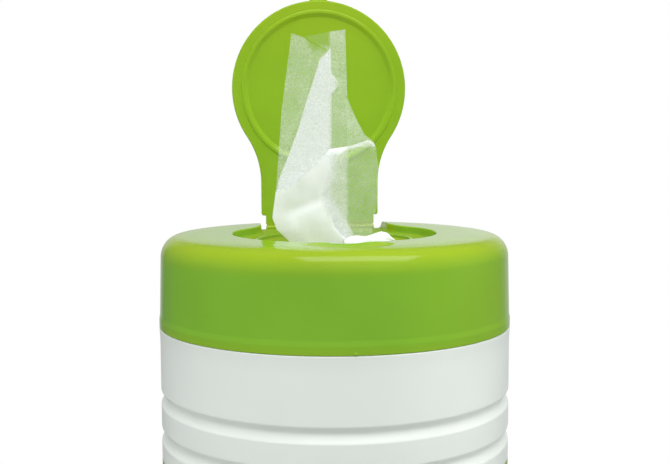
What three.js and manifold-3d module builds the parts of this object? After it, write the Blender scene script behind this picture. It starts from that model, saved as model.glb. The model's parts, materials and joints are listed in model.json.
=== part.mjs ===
// Round canister of wet wipes: ribbed tub with a wrap label, a centre-pull roll inside,
// a pull-off lid with a keyhole recess, a flip cap that stands open, and one wipe drawn out.
// Millimetres, +Z up, origin at the middle of the tub's base. The hinge is at +Y, the front at -Y.

import * as THREE from 'three';
import { mergeVertices } from 'three/addons/utils/BufferGeometryUtils.js';
import Module from 'manifold-3d';

const wasm = await Module();
wasm.setup();

// Faceting
const ROUND_SIDES = 40;
const ARC_STEPS = 4;
const OUTLINE_STEP = 0.14;
const PAST = 8;

// Tub
const TUB_RADIUS = 54.8;
const TUB_BODY_HEIGHT = 176.4;
const TUB_WALL = 1.2;
const BASE_PUSH_UP = 2.5;
const BASE_RING_WIDTH = 3;
const HEEL_RADIUS = 4;
const TOP_EDGE_RADIUS = 0.9;
const GROOVE_WIDTH = 5.3;
const GROOVE_DEPTH = 1.3;
const UPPER_GROOVE_DROP = 21.3;
const SECOND_GROOVE_DROP = 33;
const LOWER_GROOVE_HEIGHT = 25.5;
const NECK_HEIGHT = 19.6;
const RIM_BEAD_HEIGHT = 2.4;
const RIM_BEAD_DEPTH = 0.45;
const RIM_BEAD_DROP = 3.6;

// Wrap label in its shallow panel
const LABEL_TOP_DROP = 40.7;
const LABEL_FOOT_HEIGHT = 34;
const LABEL_THICKNESS = 0.2;
const LABEL_GAP = 0.1;
const LABEL_END_GAP = 0.4;

// Roll of wipes
const ROLL_SIDE_GAP = 3.1;
const ROLL_CORE_RADIUS = 17;
const ROLL_HEIGHT = 150;
const ROLL_GAP = 0.3;
const TURN_RIDGES = 6;
const TURN_RIDGE_DEPTH = 1.2;

// Lid
const LID_HEIGHT = 28.3;
const LID_SEAT_GAP = 0.3;
const LID_WALL = 1.7;
const LID_PROUD = 0.2;
const LID_DRAFT = 0.45;
const LID_BAND_HEIGHT = 3.3;
const LID_BAND_STEP = 0.25;
const SHOULDER_WIDTH = 5.9;
const SHOULDER_HEIGHT = 6.8;
const DECK_THICKNESS = 1.6;
const NECK_GAP = 0.8;
const BEAD_GAP = 0.15;
const PLUG_DEPTH = 14;
const PLUG_WALL = 1.1;
const PLUG_GAP = 0.4;

// Keyhole recess, collar, well and dispensing slot in the lid
const RECESS_DEPTH = 3;
const RECESS_FLOOR = 1.4;
const RECESS_WALL = 1.4;
const COLLAR_RADIUS = 25.2;
const COLLAR_WALL = 1.5;
const COLLAR_CAP_GAP = 0.4;
const WELL_DEPTH = 6.5;
const WELL_FLOOR_RADIUS = 18;
const WELL_FLOOR = 1.3;
const CROSS_SLOT_LENGTH = 26;
const CROSS_SLOT_WIDTH = 3.6;

// Thumb scoop in front of the recess
const SCOOP_WIDTH = 27;
const SCOOP_REACH = 7.9;
const SCOOP_EDGE = 1.9;
const SCOOP_DEPTH = 1.5;
const SCOOP_ROUND = 6;

// Flip cap and its hinge
const CAP_RADIUS = 31.3;
const HINGE_SET_OUT = 1.6;
const CAP_NECK_WIDTH = 42.4;
const CAP_FLANK_RADIUS = 30;
const CAP_TONGUE_WIDTH = 38.5;
const CAP_EAR_HEIGHT = 5.4;
const CAP_THICKNESS = 3;
const CAP_TONGUE_THICKNESS = 1.2;
const CAP_PANEL_THICKNESS = 1.1;
const CAP_RING_RADIUS = 27.1;
const CAP_RING_WIDTH = 1;
const CAP_RING_HEIGHT = 0.4;
const CAP_GAP = 0.7;
const CAP_FLOOR_GAP = 0.35;
const TAB_WIDTH = 10;
const TAB_REACH = 2.4;
const TAB_THICKNESS = 0.85;
const TAB_DECK_GAP = 0.15;
const HINGE_BEAD_RADIUS = 0.9;
const HINGE_GAP = 0.3;

// Dispensed wipe, with heights above the deck
const PLY = 0.5;
const PLY_PITCH = 1.2;
const SLOT_GAP = 0.5;
const WIPE_NECK_WIDTH = 27;
const WIPE_TAIL_WIDTH = 20;
const WIPE_TAIL_DEPTH = 75;
const WIPE_TOP = 63;
const WIPE_FRONT_TOP = 60;
const WIPE_SPREAD_HEIGHT = 5;
const LEFT_EDGE_LOW = -19.4;
const LEFT_EDGE_TOP = -13.2;
const RIGHT_EDGE_LOW = 13.3;
const RIGHT_EDGE_TOP = 4.2;
const RIGHT_FLARE_HEIGHT = 42;
const FRONT_FOLD = -0.7;
const BACK_FOLD_LOW = -17.4;
const BACK_FOLD_HEIGHT = 16.5;
const FOLD_OVERLAP = 1.5;
const FLAP_TOP = 28.5;
const FLAP_BEND = 26;
const FLAP_BEND_X = -1.5;
const FLAP_LOW = 13.5;
const FLAP_LOW_X = -14.6;
const HEM_WIDTH = 1.5;

// Heights, radii and places that follow from the sizes above
const deckZ = TUB_BODY_HEIGHT + LID_SEAT_GAP + LID_HEIGHT;
const lidFootZ = TUB_BODY_HEIGHT + LID_SEAT_GAP;
const lidBandRadius = TUB_RADIUS + LID_PROUD;
const lidRadius = lidBandRadius - LID_BAND_STEP - LID_DRAFT;
const deckRadius = lidRadius - SHOULDER_WIDTH;
const skirtInside = lidRadius - LID_WALL;
const neckRadius = skirtInside - NECK_GAP;
const neckInside = neckRadius - TUB_WALL;
const rollRadius = neckInside - ROLL_SIDE_GAP;
const rimZ = TUB_BODY_HEIGHT + NECK_HEIGHT;
const panelRadius = TUB_RADIUS - LABEL_THICKNESS - LABEL_GAP;
const labelTopZ = TUB_BODY_HEIGHT - LABEL_TOP_DROP;
const recessFloorZ = deckZ - RECESS_DEPTH;
const wellFloorZ = deckZ - WELL_DEPTH;
const collarInside = COLLAR_RADIUS - COLLAR_WALL;
const hingeY = deckRadius + HINGE_SET_OUT;
const capReach = hingeY;
const hingeZ = recessFloorZ + CAP_FLOOR_GAP;
const tongueFoot = HINGE_BEAD_RADIUS + HINGE_GAP;
const panelInside = CAP_THICKNESS - CAP_PANEL_THICKNESS;
const collarTopZ = hingeZ + panelInside - COLLAR_CAP_GAP;
const slotWidth = 3 * PLY_PITCH + PLY + 2 * SLOT_GAP;
const slotLength = WIPE_NECK_WIDTH + slotWidth;

const { lerp, smoothstep } = THREE.MathUtils;

// Solids: a closed geometry becomes a body that can be joined and cut
function body(geometry) {
  geometry.deleteAttribute('normal');
  geometry.deleteAttribute('uv');
  const welded = mergeVertices(geometry);
  const index = welded.index.array;
  const triangles = [];
  for (let i = 0; i < index.length; i += 3) {
    const [a, b, c] = [index[i], index[i + 1], index[i + 2]];
    if (a !== b && b !== c && c !== a) triangles.push(a, b, c);
  }
  const mesh = new wasm.Mesh({
    numProp: 3,
    vertProperties: welded.attributes.position.array,
    triVerts: new Uint32Array(triangles),
  });
  return new wasm.Manifold(mesh);
}

function mesh(name, solid, material) {
  const shape = solid.getMesh();
  const geometry = new THREE.BufferGeometry();
  geometry.setAttribute('position', new THREE.BufferAttribute(shape.vertProperties, 3));
  geometry.setIndex(new THREE.BufferAttribute(shape.triVerts, 1));
  geometry.computeVertexNormals();
  const result = new THREE.Mesh(geometry, material);
  result.name = name;
  return result;
}

// A profile in radius and height, drawn anticlockwise, turned around Z
function turned(profile) {
  const geometry = new THREE.LatheGeometry(profile.getPoints(ARC_STEPS), ROUND_SIDES);
  geometry.rotateX(Math.PI / 2);
  return body(geometry);
}

function ring(inside, outside, low, high) {
  const profile = new THREE.Path();
  profile.moveTo(inside, low);
  profile.lineTo(outside, low);
  profile.lineTo(outside, high);
  profile.lineTo(inside, high);
  profile.closePath();
  return turned(profile);
}

function disc(radius, low, high) {
  const profile = new THREE.Path();
  profile.moveTo(0, low);
  profile.lineTo(radius, low);
  profile.lineTo(radius, high);
  profile.lineTo(0, high);
  return turned(profile);
}

function prism(shape, low, high) {
  const geometry = new THREE.ExtrudeGeometry(shape, {
    depth: high - low,
    bevelEnabled: false,
    curveSegments: ARC_STEPS,
  });
  geometry.translate(0, 0, low);
  return body(geometry);
}

function arcPoints(centreX, centreY, radius, from, to) {
  const steps = Math.ceil(Math.abs(to - from) / OUTLINE_STEP);
  const points = [];
  for (let i = 0; i <= steps; i += 1) {
    const angle = lerp(from, to, i / steps);
    points.push([centreX + radius * Math.cos(angle), centreY + radius * Math.sin(angle)]);
  }
  return points;
}

// The cap's outline, grown all round: a disc that flows into a neck by concave flanks.
// The second number is the distance from the hinge towards the disc.
function keyholePoints(grow, neckFoot) {
  const radius = CAP_RADIUS + grow;
  const half = CAP_NECK_WIDTH / 2 + grow;
  const flank = CAP_FLANK_RADIUS - grow;
  const flankX = half + flank;
  const flankRise = Math.sqrt((radius + flank) ** 2 - flankX ** 2);
  const meet = Math.atan2(flankRise, flankX);
  const rightFlank = arcPoints(flankX, capReach - flankRise, flank, Math.PI, Math.PI - meet);
  const round = arcPoints(0, capReach, radius, -meet, Math.PI + meet);
  const leftFlank = rightFlank.map(([x, v]) => [-x, v]).reverse();
  return [[half, neckFoot], ...rightFlank, ...round.slice(1, -1), ...leftFlank, [-half, neckFoot]];
}

function outline(points) {
  return new THREE.Shape(points.map(([x, y]) => new THREE.Vector2(x, y)));
}

function keyholeInLid(grow) {
  const points = keyholePoints(grow, hingeY - lidBandRadius - PAST);
  return outline(points.map(([x, v]) => [x, hingeY - v]));
}

function slotOutline(length, width) {
  const radius = width / 2;
  const reach = length / 2 - radius;
  const shape = new THREE.Shape();
  shape.absarc(reach, 0, radius, -Math.PI / 2, Math.PI / 2);
  shape.absarc(-reach, 0, radius, Math.PI / 2, Math.PI * 1.5);
  return shape;
}

// Tub: thin blown wall with rounded grooves, standing ring, and a neck for the lid
function groove(profile, radius, height, direction) {
  const half = direction * GROOVE_WIDTH / 2;
  profile.lineTo(radius, height - half);
  profile.quadraticCurveTo(radius - 2 * GROOVE_DEPTH, height, radius, height + half);
}

function tubSolid() {
  const firstGroove = TUB_BODY_HEIGHT - UPPER_GROOVE_DROP;
  const secondGroove = TUB_BODY_HEIGHT - SECOND_GROOVE_DROP;
  const beadZ = rimZ - RIM_BEAD_DROP;
  const ringOuter = TUB_RADIUS - HEEL_RADIUS;
  const ringInner = ringOuter - BASE_RING_WIDTH;
  const inside = TUB_RADIUS - TUB_WALL;
  const panelInner = panelRadius - TUB_WALL;
  const profile = new THREE.Path();
  profile.moveTo(0, BASE_PUSH_UP);
  profile.lineTo(ringInner - BASE_PUSH_UP, BASE_PUSH_UP);
  profile.lineTo(ringInner, 0);
  profile.lineTo(ringOuter, 0);
  profile.absarc(ringOuter, HEEL_RADIUS, HEEL_RADIUS, -Math.PI / 2, 0);
  groove(profile, TUB_RADIUS, LOWER_GROOVE_HEIGHT, 1);
  profile.lineTo(TUB_RADIUS, LABEL_FOOT_HEIGHT);
  profile.lineTo(panelRadius, LABEL_FOOT_HEIGHT);
  profile.lineTo(panelRadius, labelTopZ);
  profile.lineTo(TUB_RADIUS, labelTopZ);
  groove(profile, TUB_RADIUS, secondGroove, 1);
  groove(profile, TUB_RADIUS, firstGroove, 1);
  const edgeZ = TUB_BODY_HEIGHT - TOP_EDGE_RADIUS;
  profile.absarc(TUB_RADIUS - TOP_EDGE_RADIUS, edgeZ, TOP_EDGE_RADIUS, 0, Math.PI / 2);
  profile.lineTo(neckRadius, TUB_BODY_HEIGHT);
  profile.lineTo(neckRadius, beadZ - RIM_BEAD_HEIGHT / 2);
  profile.quadraticCurveTo(neckRadius + 2 * RIM_BEAD_DEPTH, beadZ, neckRadius, beadZ + RIM_BEAD_HEIGHT / 2);
  profile.lineTo(neckRadius, rimZ);
  profile.lineTo(neckInside, rimZ);
  profile.lineTo(neckInside, TUB_BODY_HEIGHT - TUB_WALL);
  profile.lineTo(inside, TUB_BODY_HEIGHT - 2 * TUB_WALL);
  groove(profile, inside, firstGroove, -1);
  groove(profile, inside, secondGroove, -1);
  profile.lineTo(panelInner, labelTopZ);
  profile.lineTo(panelInner, LABEL_FOOT_HEIGHT);
  groove(profile, inside, LOWER_GROOVE_HEIGHT, -1);
  profile.lineTo(inside, HEEL_RADIUS);
  profile.absarc(ringOuter, HEEL_RADIUS, HEEL_RADIUS - TUB_WALL, 0, -Math.PI / 2, true);
  profile.lineTo(ringInner, TUB_WALL);
  profile.lineTo(ringInner - BASE_PUSH_UP, BASE_PUSH_UP + TUB_WALL);
  profile.lineTo(0, BASE_PUSH_UP + TUB_WALL);
  return turned(profile);
}

function labelSolid() {
  const inside = panelRadius + LABEL_GAP;
  return ring(inside, TUB_RADIUS, LABEL_FOOT_HEIGHT + LABEL_END_GAP, labelTopZ - LABEL_END_GAP);
}

// Roll: its turns show as shallow ridges on the top face
function rollSolid() {
  const low = BASE_PUSH_UP + TUB_WALL + ROLL_GAP;
  const high = low + ROLL_HEIGHT;
  const ridge = (rollRadius - ROLL_CORE_RADIUS) / TURN_RIDGES;
  const profile = new THREE.Path();
  profile.moveTo(ROLL_CORE_RADIUS, low);
  profile.lineTo(rollRadius, low);
  profile.lineTo(rollRadius, high);
  for (let i = 0; i < TURN_RIDGES; i += 1) {
    const outer = rollRadius - i * ridge;
    profile.lineTo(outer - ridge / 2, high - TURN_RIDGE_DEPTH);
    profile.lineTo(outer - ridge, high);
  }
  profile.closePath();
  return turned(profile);
}

// Lid: turned shell, then the keyhole tray, collar, well, slots and scoop
function lidOutside(profile) {
  const shoulderZ = deckZ - SHOULDER_HEIGHT;
  const bandZ = lidFootZ + LID_BAND_HEIGHT;
  profile.lineTo(lidBandRadius, lidFootZ);
  profile.lineTo(lidBandRadius, bandZ);
  profile.lineTo(lidRadius + LID_DRAFT, bandZ + LID_BAND_STEP);
  profile.lineTo(lidRadius, shoulderZ);
  profile.absellipse(deckRadius, shoulderZ, SHOULDER_WIDTH, SHOULDER_HEIGHT, 0, Math.PI / 2);
  profile.lineTo(0, deckZ);
}

function lidEnvelope() {
  const profile = new THREE.Path();
  profile.moveTo(0, lidFootZ);
  lidOutside(profile);
  return turned(profile);
}

function lidShell() {
  const shoulderZ = deckZ - SHOULDER_HEIGHT;
  const beadZ = rimZ - RIM_BEAD_DROP - RIM_BEAD_HEIGHT;
  const beadReach = NECK_GAP - RIM_BEAD_DEPTH - BEAD_GAP;
  const profile = new THREE.Path();
  profile.moveTo(0, deckZ - DECK_THICKNESS);
  profile.lineTo(deckRadius, deckZ - DECK_THICKNESS);
  const [roundWidth, roundHeight] = [skirtInside - deckRadius, SHOULDER_HEIGHT - DECK_THICKNESS];
  profile.absellipse(deckRadius, shoulderZ, roundWidth, roundHeight, Math.PI / 2, 0, true);
  profile.lineTo(skirtInside, beadZ + RIM_BEAD_HEIGHT / 2);
  profile.quadraticCurveTo(skirtInside - 2 * beadReach, beadZ, skirtInside, beadZ - RIM_BEAD_HEIGHT / 2);
  profile.lineTo(skirtInside, lidFootZ);
  lidOutside(profile);
  return turned(profile);
}

function wellCut() {
  const profile = new THREE.Path();
  profile.moveTo(0, wellFloorZ);
  profile.lineTo(WELL_FLOOR_RADIUS, wellFloorZ);
  profile.lineTo(collarInside, recessFloorZ);
  profile.lineTo(collarInside, deckZ + PAST);
  profile.lineTo(0, deckZ + PAST);
  return turned(profile);
}

function scoopCut() {
  const lift = SCOOP_ROUND - SCOOP_DEPTH;
  const share = Math.sqrt(1 - (lift / SCOOP_ROUND) ** 2);
  const middle = -(deckRadius - SCOOP_EDGE - SCOOP_REACH);
  const geometry = new THREE.SphereGeometry(1, ROUND_SIDES / 2, ROUND_SIDES / 4);
  geometry.scale(SCOOP_WIDTH / 2 / share, SCOOP_REACH / share, SCOOP_ROUND);
  geometry.translate(0, middle, deckZ + lift);
  return body(geometry);
}

function hingeBead() {
  const geometry = new THREE.CylinderGeometry(
    HINGE_BEAD_RADIUS, HINGE_BEAD_RADIUS, CAP_TONGUE_WIDTH, 2 * ARC_STEPS);
  geometry.rotateZ(Math.PI / 2);
  geometry.translate(0, hingeY, hingeZ);
  return body(geometry);
}

function lidSolid() {
  const trayLow = recessFloorZ - RECESS_FLOOR;
  const rootZ = deckZ - DECK_THICKNESS / 2;
  const plugOutside = neckInside - PLUG_GAP;
  const wellLow = wellFloorZ - WELL_FLOOR;
  const tray = prism(keyholeInLid(CAP_GAP + RECESS_WALL), trayLow, rootZ).intersect(lidEnvelope());
  const plug = ring(plugOutside - PLUG_WALL, plugOutside, deckZ - PLUG_DEPTH, deckZ - DECK_THICKNESS);
  const collar = ring(collarInside, COLLAR_RADIUS, trayLow, collarTopZ);
  const well = disc(COLLAR_RADIUS, wellLow, recessFloorZ - RECESS_FLOOR / 2);
  const slot = prism(slotOutline(slotLength, slotWidth), wellLow - PAST, deckZ);
  const crossOutline = slotOutline(CROSS_SLOT_LENGTH, CROSS_SLOT_WIDTH);
  const crossSlot = prism(crossOutline, wellLow - PAST, deckZ).rotate([0, 0, 90]);
  return lidShell()
    .add(plug)
    .add(tray)
    .subtract(prism(keyholeInLid(CAP_GAP), recessFloorZ, deckZ + PAST))
    .add(collar)
    .add(well)
    .subtract(wellCut())
    .subtract(slot)
    .subtract(crossSlot)
    .subtract(scoopCut())
    .add(hingeBead());
}

// Flip cap: drawn as it lies against the hinge, then stood up to the open pose.
// Depth runs from the inner face to the outer face.
function capPlate(shape, inner, outer) {
  const geometry = new THREE.ExtrudeGeometry(shape, {
    depth: outer - inner,
    bevelEnabled: false,
    curveSegments: ARC_STEPS,
  });
  geometry.translate(0, 0, -outer);
  geometry.rotateX(Math.PI / 2);
  geometry.translate(0, hingeY, hingeZ);
  return body(geometry);
}

function circle(radius) {
  const full = arcPoints(0, capReach, radius, 0, 2 * Math.PI);
  return outline(full.slice(0, -1));
}

function rectangle(half, low, high) {
  return outline([[-half, low], [half, low], [half, high], [-half, high]]);
}

function capSolid() {
  const face = CAP_RING_HEIGHT;
  const tip = capReach + CAP_RADIUS;
  const tabInner = deckZ + TAB_DECK_GAP - hingeZ;
  const plate = capPlate(outline(keyholePoints(0, CAP_EAR_HEIGHT)), face, CAP_THICKNESS);
  const tongueShape = rectangle(CAP_TONGUE_WIDTH / 2, tongueFoot, CAP_EAR_HEIGHT + CAP_THICKNESS);
  const tongue = capPlate(tongueShape, face, face + CAP_TONGUE_THICKNESS);
  const raised = capPlate(circle(CAP_RING_RADIUS + CAP_RING_WIDTH / 2), 0, CAP_THICKNESS);
  const hollow = capPlate(circle(CAP_RING_RADIUS - CAP_RING_WIDTH / 2), -PAST, panelInside);
  const tabShape = rectangle(TAB_WIDTH / 2, tip - TAB_WIDTH / 2, tip + TAB_REACH);
  const tab = capPlate(tabShape, tabInner, tabInner + TAB_THICKNESS);
  return plate.add(tongue).add(raised).subtract(hollow).add(tab);
}

// Wipe: a zigzag of four panels. Its folds are straight or flared lines up the sheet,
// and in the slot every panel is as wide as the slot lets it be.
function span(value, low, high, atLow, atHigh) {
  const share = THREE.MathUtils.clamp((value - low) / (high - low), 0, 1);
  return lerp(atLow, atHigh, share);
}

function freeEdges(height) {
  const left = span(height, WIPE_SPREAD_HEIGHT, WIPE_TOP, LEFT_EDGE_LOW, LEFT_EDGE_TOP);
  const right = span(height, FLAP_TOP, RIGHT_FLARE_HEIGHT, RIGHT_EDGE_LOW, RIGHT_EDGE_TOP);
  const overlap = FRONT_FOLD - FOLD_OVERLAP;
  const backFold = span(height, BACK_FOLD_HEIGHT, WIPE_FRONT_TOP, BACK_FOLD_LOW, overlap);
  let flap = span(height, FLAP_BEND, FLAP_TOP, FLAP_BEND_X, right - HEM_WIDTH);
  if (height < FLAP_BEND) flap = span(height, FLAP_LOW, FLAP_BEND, FLAP_LOW_X, FLAP_BEND_X);
  return { left, frontFold: FRONT_FOLD, backFold, right, flap };
}

function gatheredEdges(height) {
  const width = span(height, -WIPE_TAIL_DEPTH, -WELL_DEPTH, WIPE_TAIL_WIDTH, WIPE_NECK_WIDTH);
  const half = width / 2;
  return { left: -half, frontFold: half - 2 * PLY, backFold: -half, right: half, flap: -half };
}

function wipeCentreline(height) {
  const open = smoothstep(height, -WELL_DEPTH, WIPE_SPREAD_HEIGHT);
  const free = freeEdges(height);
  const gathered = gatheredEdges(height);
  const at = (edge) => lerp(gathered[edge], free[edge], open);
  const back = 1.5 * PLY_PITCH;
  const middle = 0.5 * PLY_PITCH;
  const front = -middle;
  const flapDepth = span(height, FLAP_TOP, RIGHT_FLARE_HEIGHT, -back, middle);
  return [
    [at('left'), front],
    [at('frontFold'), front],
    [at('frontFold'), middle],
    [at('backFold'), middle],
    [at('backFold'), back],
    [at('right'), back],
    [at('right'), flapDepth],
    [at('flap'), flapDepth],
  ];
}

// Half a ply to one side of a centreline, with mitred corners
function offsetLine(line, distance) {
  return line.map((point, i) => {
    const before = line[Math.max(i - 1, 0)];
    const after = line[Math.min(i + 1, line.length - 1)];
    const normals = [[before, point], [point, after]]
      .filter(([a, b]) => a !== b)
      .map(([a, b]) => new THREE.Vector2(a[1] - b[1], b[0] - a[0]).normalize());
    const first = normals[0];
    const last = normals[normals.length - 1];
    const mitre = first.clone().add(last).divideScalar(1 + first.dot(last));
    return [point[0] + mitre.x * distance, point[1] + mitre.y * distance];
  });
}

function wipeRows() {
  const levels = [
    -WIPE_TAIL_DEPTH, -WELL_DEPTH - WELL_FLOOR, -WELL_DEPTH, WIPE_SPREAD_HEIGHT, FLAP_LOW,
    FLAP_BEND, FLAP_TOP, RIGHT_FLARE_HEIGHT, WIPE_TOP,
  ];
  const rows = [levels[0]];
  levels.slice(1).forEach((level, i) => rows.push((levels[i] + level) / 2, level));
  return rows;
}

function wipeSolid() {
  const frontShare = WIPE_FRONT_TOP / WIPE_TOP;
  const points = [];
  const rows = wipeRows();
  rows.forEach((height) => {
    const line = wipeCentreline(height);
    const loop = [...offsetLine(line, PLY / 2), ...offsetLine(line, -PLY / 2).reverse()];
    loop.forEach(([x, y]) => {
      const share = y < 0 && height > 0 ? frontShare : 1;
      points.push(x, y, deckZ + height * share);
    });
  });
  const around = points.length / 3 / rows.length;
  const triangles = [];
  for (let row = 0; row < rows.length - 1; row += 1) {
    for (let i = 0; i < around; i += 1) {
      const a = row * around + i;
      const b = row * around + ((i + 1) % around);
      triangles.push(a, a + around, b, b, a + around, b + around);
    }
  }
  const top = (rows.length - 1) * around;
  for (let i = 0; i < around / 2 - 1; i += 1) {
    const [a, b, c, d] = [i, i + 1, around - 2 - i, around - 1 - i];
    triangles.push(a, b, c, a, c, d);
    triangles.push(top + a, top + c, top + b, top + a, top + d, top + c);
  }
  const geometry = new THREE.BufferGeometry();
  geometry.setAttribute('position', new THREE.Float32BufferAttribute(points, 3));
  geometry.setIndex(triangles);
  return body(geometry);
}

// Materials and the finished object
const plastic = (color, roughness) => new THREE.MeshStandardMaterial({ color, roughness, metalness: 0 });
const whitePlastic = plastic(0xdfe5df, 0.45);
const greenPlastic = plastic(0x88b630, 0.25);
const labelFilm = plastic(0x86b04e, 0.4);
const wetCloth = plastic(0xf0f5ee, 0.9);

const canister = new THREE.Group();
canister.add(
  mesh('tub', tubSolid(), whitePlastic),
  mesh('label', labelSolid(), labelFilm),
  mesh('wipe_roll', rollSolid(), wetCloth),
  mesh('lid', lidSolid(), greenPlastic),
  mesh('flip_cap', capSolid(), greenPlastic),
  mesh('wipe', wipeSolid(), wetCloth),
);

export default canister;
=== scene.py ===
"""Wet wipes canister: a white ribbed tub, a green lid with an open flip cap, and one drawn wipe."""

import json
import math

import bmesh
import bpy
from bpy.props import FloatProperty, FloatVectorProperty, PointerProperty
from mathutils import Matrix, Vector, noise


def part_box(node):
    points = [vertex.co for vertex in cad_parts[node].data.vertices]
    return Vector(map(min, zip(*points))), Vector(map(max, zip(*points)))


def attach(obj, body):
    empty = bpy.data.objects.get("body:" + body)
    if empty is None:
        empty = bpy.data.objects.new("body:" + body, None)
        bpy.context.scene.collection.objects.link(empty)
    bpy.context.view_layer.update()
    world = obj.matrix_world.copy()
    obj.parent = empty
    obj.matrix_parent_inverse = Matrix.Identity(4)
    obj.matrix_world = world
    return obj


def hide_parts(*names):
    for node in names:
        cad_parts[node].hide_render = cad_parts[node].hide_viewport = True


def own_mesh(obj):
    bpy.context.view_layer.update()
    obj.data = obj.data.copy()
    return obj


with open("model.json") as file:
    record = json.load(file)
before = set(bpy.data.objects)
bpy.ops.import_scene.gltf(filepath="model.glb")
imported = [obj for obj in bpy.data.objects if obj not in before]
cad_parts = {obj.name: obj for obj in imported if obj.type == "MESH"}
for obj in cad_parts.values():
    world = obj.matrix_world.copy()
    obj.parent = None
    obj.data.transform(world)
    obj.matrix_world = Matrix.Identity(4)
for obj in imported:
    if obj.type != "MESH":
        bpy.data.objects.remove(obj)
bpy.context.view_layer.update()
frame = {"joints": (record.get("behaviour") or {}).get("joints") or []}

bl_info = {
    "name": "Wipes canister",
    "version": (1, 0, 0),
    "blender": (4, 5, 0),
    "location": "View3D > Sidebar > Canister",
    "description": "Builds a canister of wet wipes around its packed frame",
    "category": "Object",
}

MM = 0.001
MERGE = 0.002 * MM
NEAR = 0.02 * MM
PAST = 8 * MM
FULL_TURN = 2 * math.pi

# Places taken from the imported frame
_, TUB_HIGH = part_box("tub")
LID_LOW, LID_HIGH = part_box("lid")
LABEL_LOW, LABEL_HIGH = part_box("label")
ROLL_LOW, ROLL_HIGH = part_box("wipe_roll")
HINGE = Vector(next(j for j in frame["joints"] if j["name"] == "cap_hinge")["pos_m"])
DECK = LID_HIGH.z
LID_FOOT = LID_LOW.z
RIM = TUB_HIGH.z

# Fineness of the turned and drawn outlines
TURN_STEPS = 192
SMALL_TURN_STEPS = 24
FILLET_STEPS = 5
GROOVE_STEPS = 18
SHOULDER_STEPS = 16
OUTLINE_STEP = 0.04
SMOOTH_ANGLE = math.radians(32)

# Tub details
LID_SEAT_GAP = 0.04 * MM
BASE_PUSH_UP = 2.5 * MM
BASE_RING_WIDTH = 3 * MM
BASE_ROUND = 0.8 * MM
TOP_EDGE_RUN = 5 * MM
TOP_EDGE_PROUD = 0.25 * MM
UPPER_GROOVE_DROP = 21.7 * MM
SECOND_GROOVE_DROP = 33.3 * MM
LOWER_GROOVE_HEIGHT = 25.5 * MM
LABEL_END_GAP = 0.4 * MM
PANEL_DEPTH = 0.3 * MM
RIM_BEAD_HEIGHT = 2.4 * MM
RIM_BEAD_DEPTH = 0.45 * MM
RIM_BEAD_DROP = 3.6 * MM
RIM_ROUND = 0.4 * MM
NECK_STEP = 3.0 * MM
PANEL_ROUND = 0.1 * MM
LABEL_ROUND = 0.05 * MM
FLARE_END = 0.9

# Roll details
ROLL_CORE_RADIUS = 17 * MM
ROLL_TURNS = 26
ROLL_TURN_DEPTH = 0.9 * MM
ROLL_EDGE_ROUND = 0.5 * MM
ROLL_TURN_LINE = ((0.15, 0.2), (0.5, 0), (0.85, 0.2), (1, 1))

# Lid details
LID_BAND_STEP = 0.25 * MM
LID_BAND_RUN = 1.5 * MM
DOME_START = 41 * MM
DOME_DROP = 0.35 * MM
DOME_TURN = 5
DOME_STEPS = 12
LID_DRAFT = 0.45 * MM
LID_WALL = 1.7 * MM
LID_FOOT_ROUND = 0.4 * MM
LID_BAND_ROUND = 2 * MM
DECK_THICKNESS = 1.6 * MM
PLUG_OUTSIDE = 50.2 * MM
PLUG_WALL = 1.1 * MM
PLUG_DEPTH = 14 * MM
PLUG_ROUND = 0.3 * MM
LID_BEAD_REACH = 0.2 * MM
TRAY_INSET = 0.3 * MM
RECESS_FLOOR = 1.4 * MM
RECESS_WALL = 1.4 * MM
RECESS_LIP = 0.5 * MM
RECESS_FILLET = 1.2 * MM
CAP_GAP = 0.7 * MM
COLLAR_RADIUS = 25.2 * MM
COLLAR_WALL = 1.5 * MM
COLLAR_TOP_DROP = 1.95 * MM
COLLAR_ROUND = 0.5 * MM
WELL_DEPTH = 6.5 * MM
WELL_FLOOR = 1.3 * MM
WELL_FLOOR_RADIUS = 18 * MM
WELL_ROUND = 0.6 * MM
SLOT_LENGTH = 32.1 * MM
SLOT_WIDTH = 5.1 * MM
CROSS_SLOT_LENGTH = 26 * MM
CROSS_SLOT_WIDTH = 3.6 * MM
SLOT_STEPS = 10
SCOOP_WIDTH = 27 * MM
SCOOP_REACH = 7.9 * MM
SCOOP_EDGE = 1.9 * MM
SCOOP_DEPTH = 1.5 * MM
SCOOP_ROUND = 6 * MM
HINGE_BEAD_RADIUS = 0.9 * MM
HINGE_BEAD_ROUND = 0.3 * MM
FRONT_PIP_RADIUS = 0.5 * MM
FRONT_PIP_RISE = 0.6 * MM

# Flip cap details, with depths from the inner face
CAP_NECK_WIDTH = 42.4 * MM
CAP_FLANK_RADIUS = 30 * MM
CAP_TONGUE_WIDTH = 39.2 * MM
CAP_TONGUE_THICKNESS = 1.2 * MM
CAP_TONGUE_FOOT = 1.2 * MM
CAP_TONGUE_ROUND = 0.3 * MM
CAP_TONGUE_SET_BACK = 0.02 * MM
CAP_EAR_HEIGHT = 4.4 * MM
CAP_EAR_ROUND = 0.9 * MM
SLEEVE_INSIDE = 0.94 * MM
SLEEVE_OUTSIDE = 1.6 * MM
SLEEVE_TURN = (15, 68)
CAP_FACE = 0.4 * MM
CAP_PANEL_INSIDE = 0.9 * MM
CAP_RING_WIDTH = 1.3 * MM
CAP_RING_SLOPE = 1.0 * MM
CAP_RING_ROOT = 1.2 * MM
CAP_RING_INNER_REACH = 0.4 * MM
CAP_RING_OUTER_REACH = 0.3 * MM
CAP_RING_OUTER_RISE = 0.1 * MM
CAP_INNER_ROUND = 0.5 * MM
CAP_OUTER_ROUND = 1.1 * MM
CAP_PANEL_FILLET = 0.75 * MM
TAB_WIDTH = 6.4 * MM
TAB_REACH = 2.4 * MM
TAB_THICKNESS = 0.85 * MM
TAB_DECK_GAP = 0.15 * MM
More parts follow.
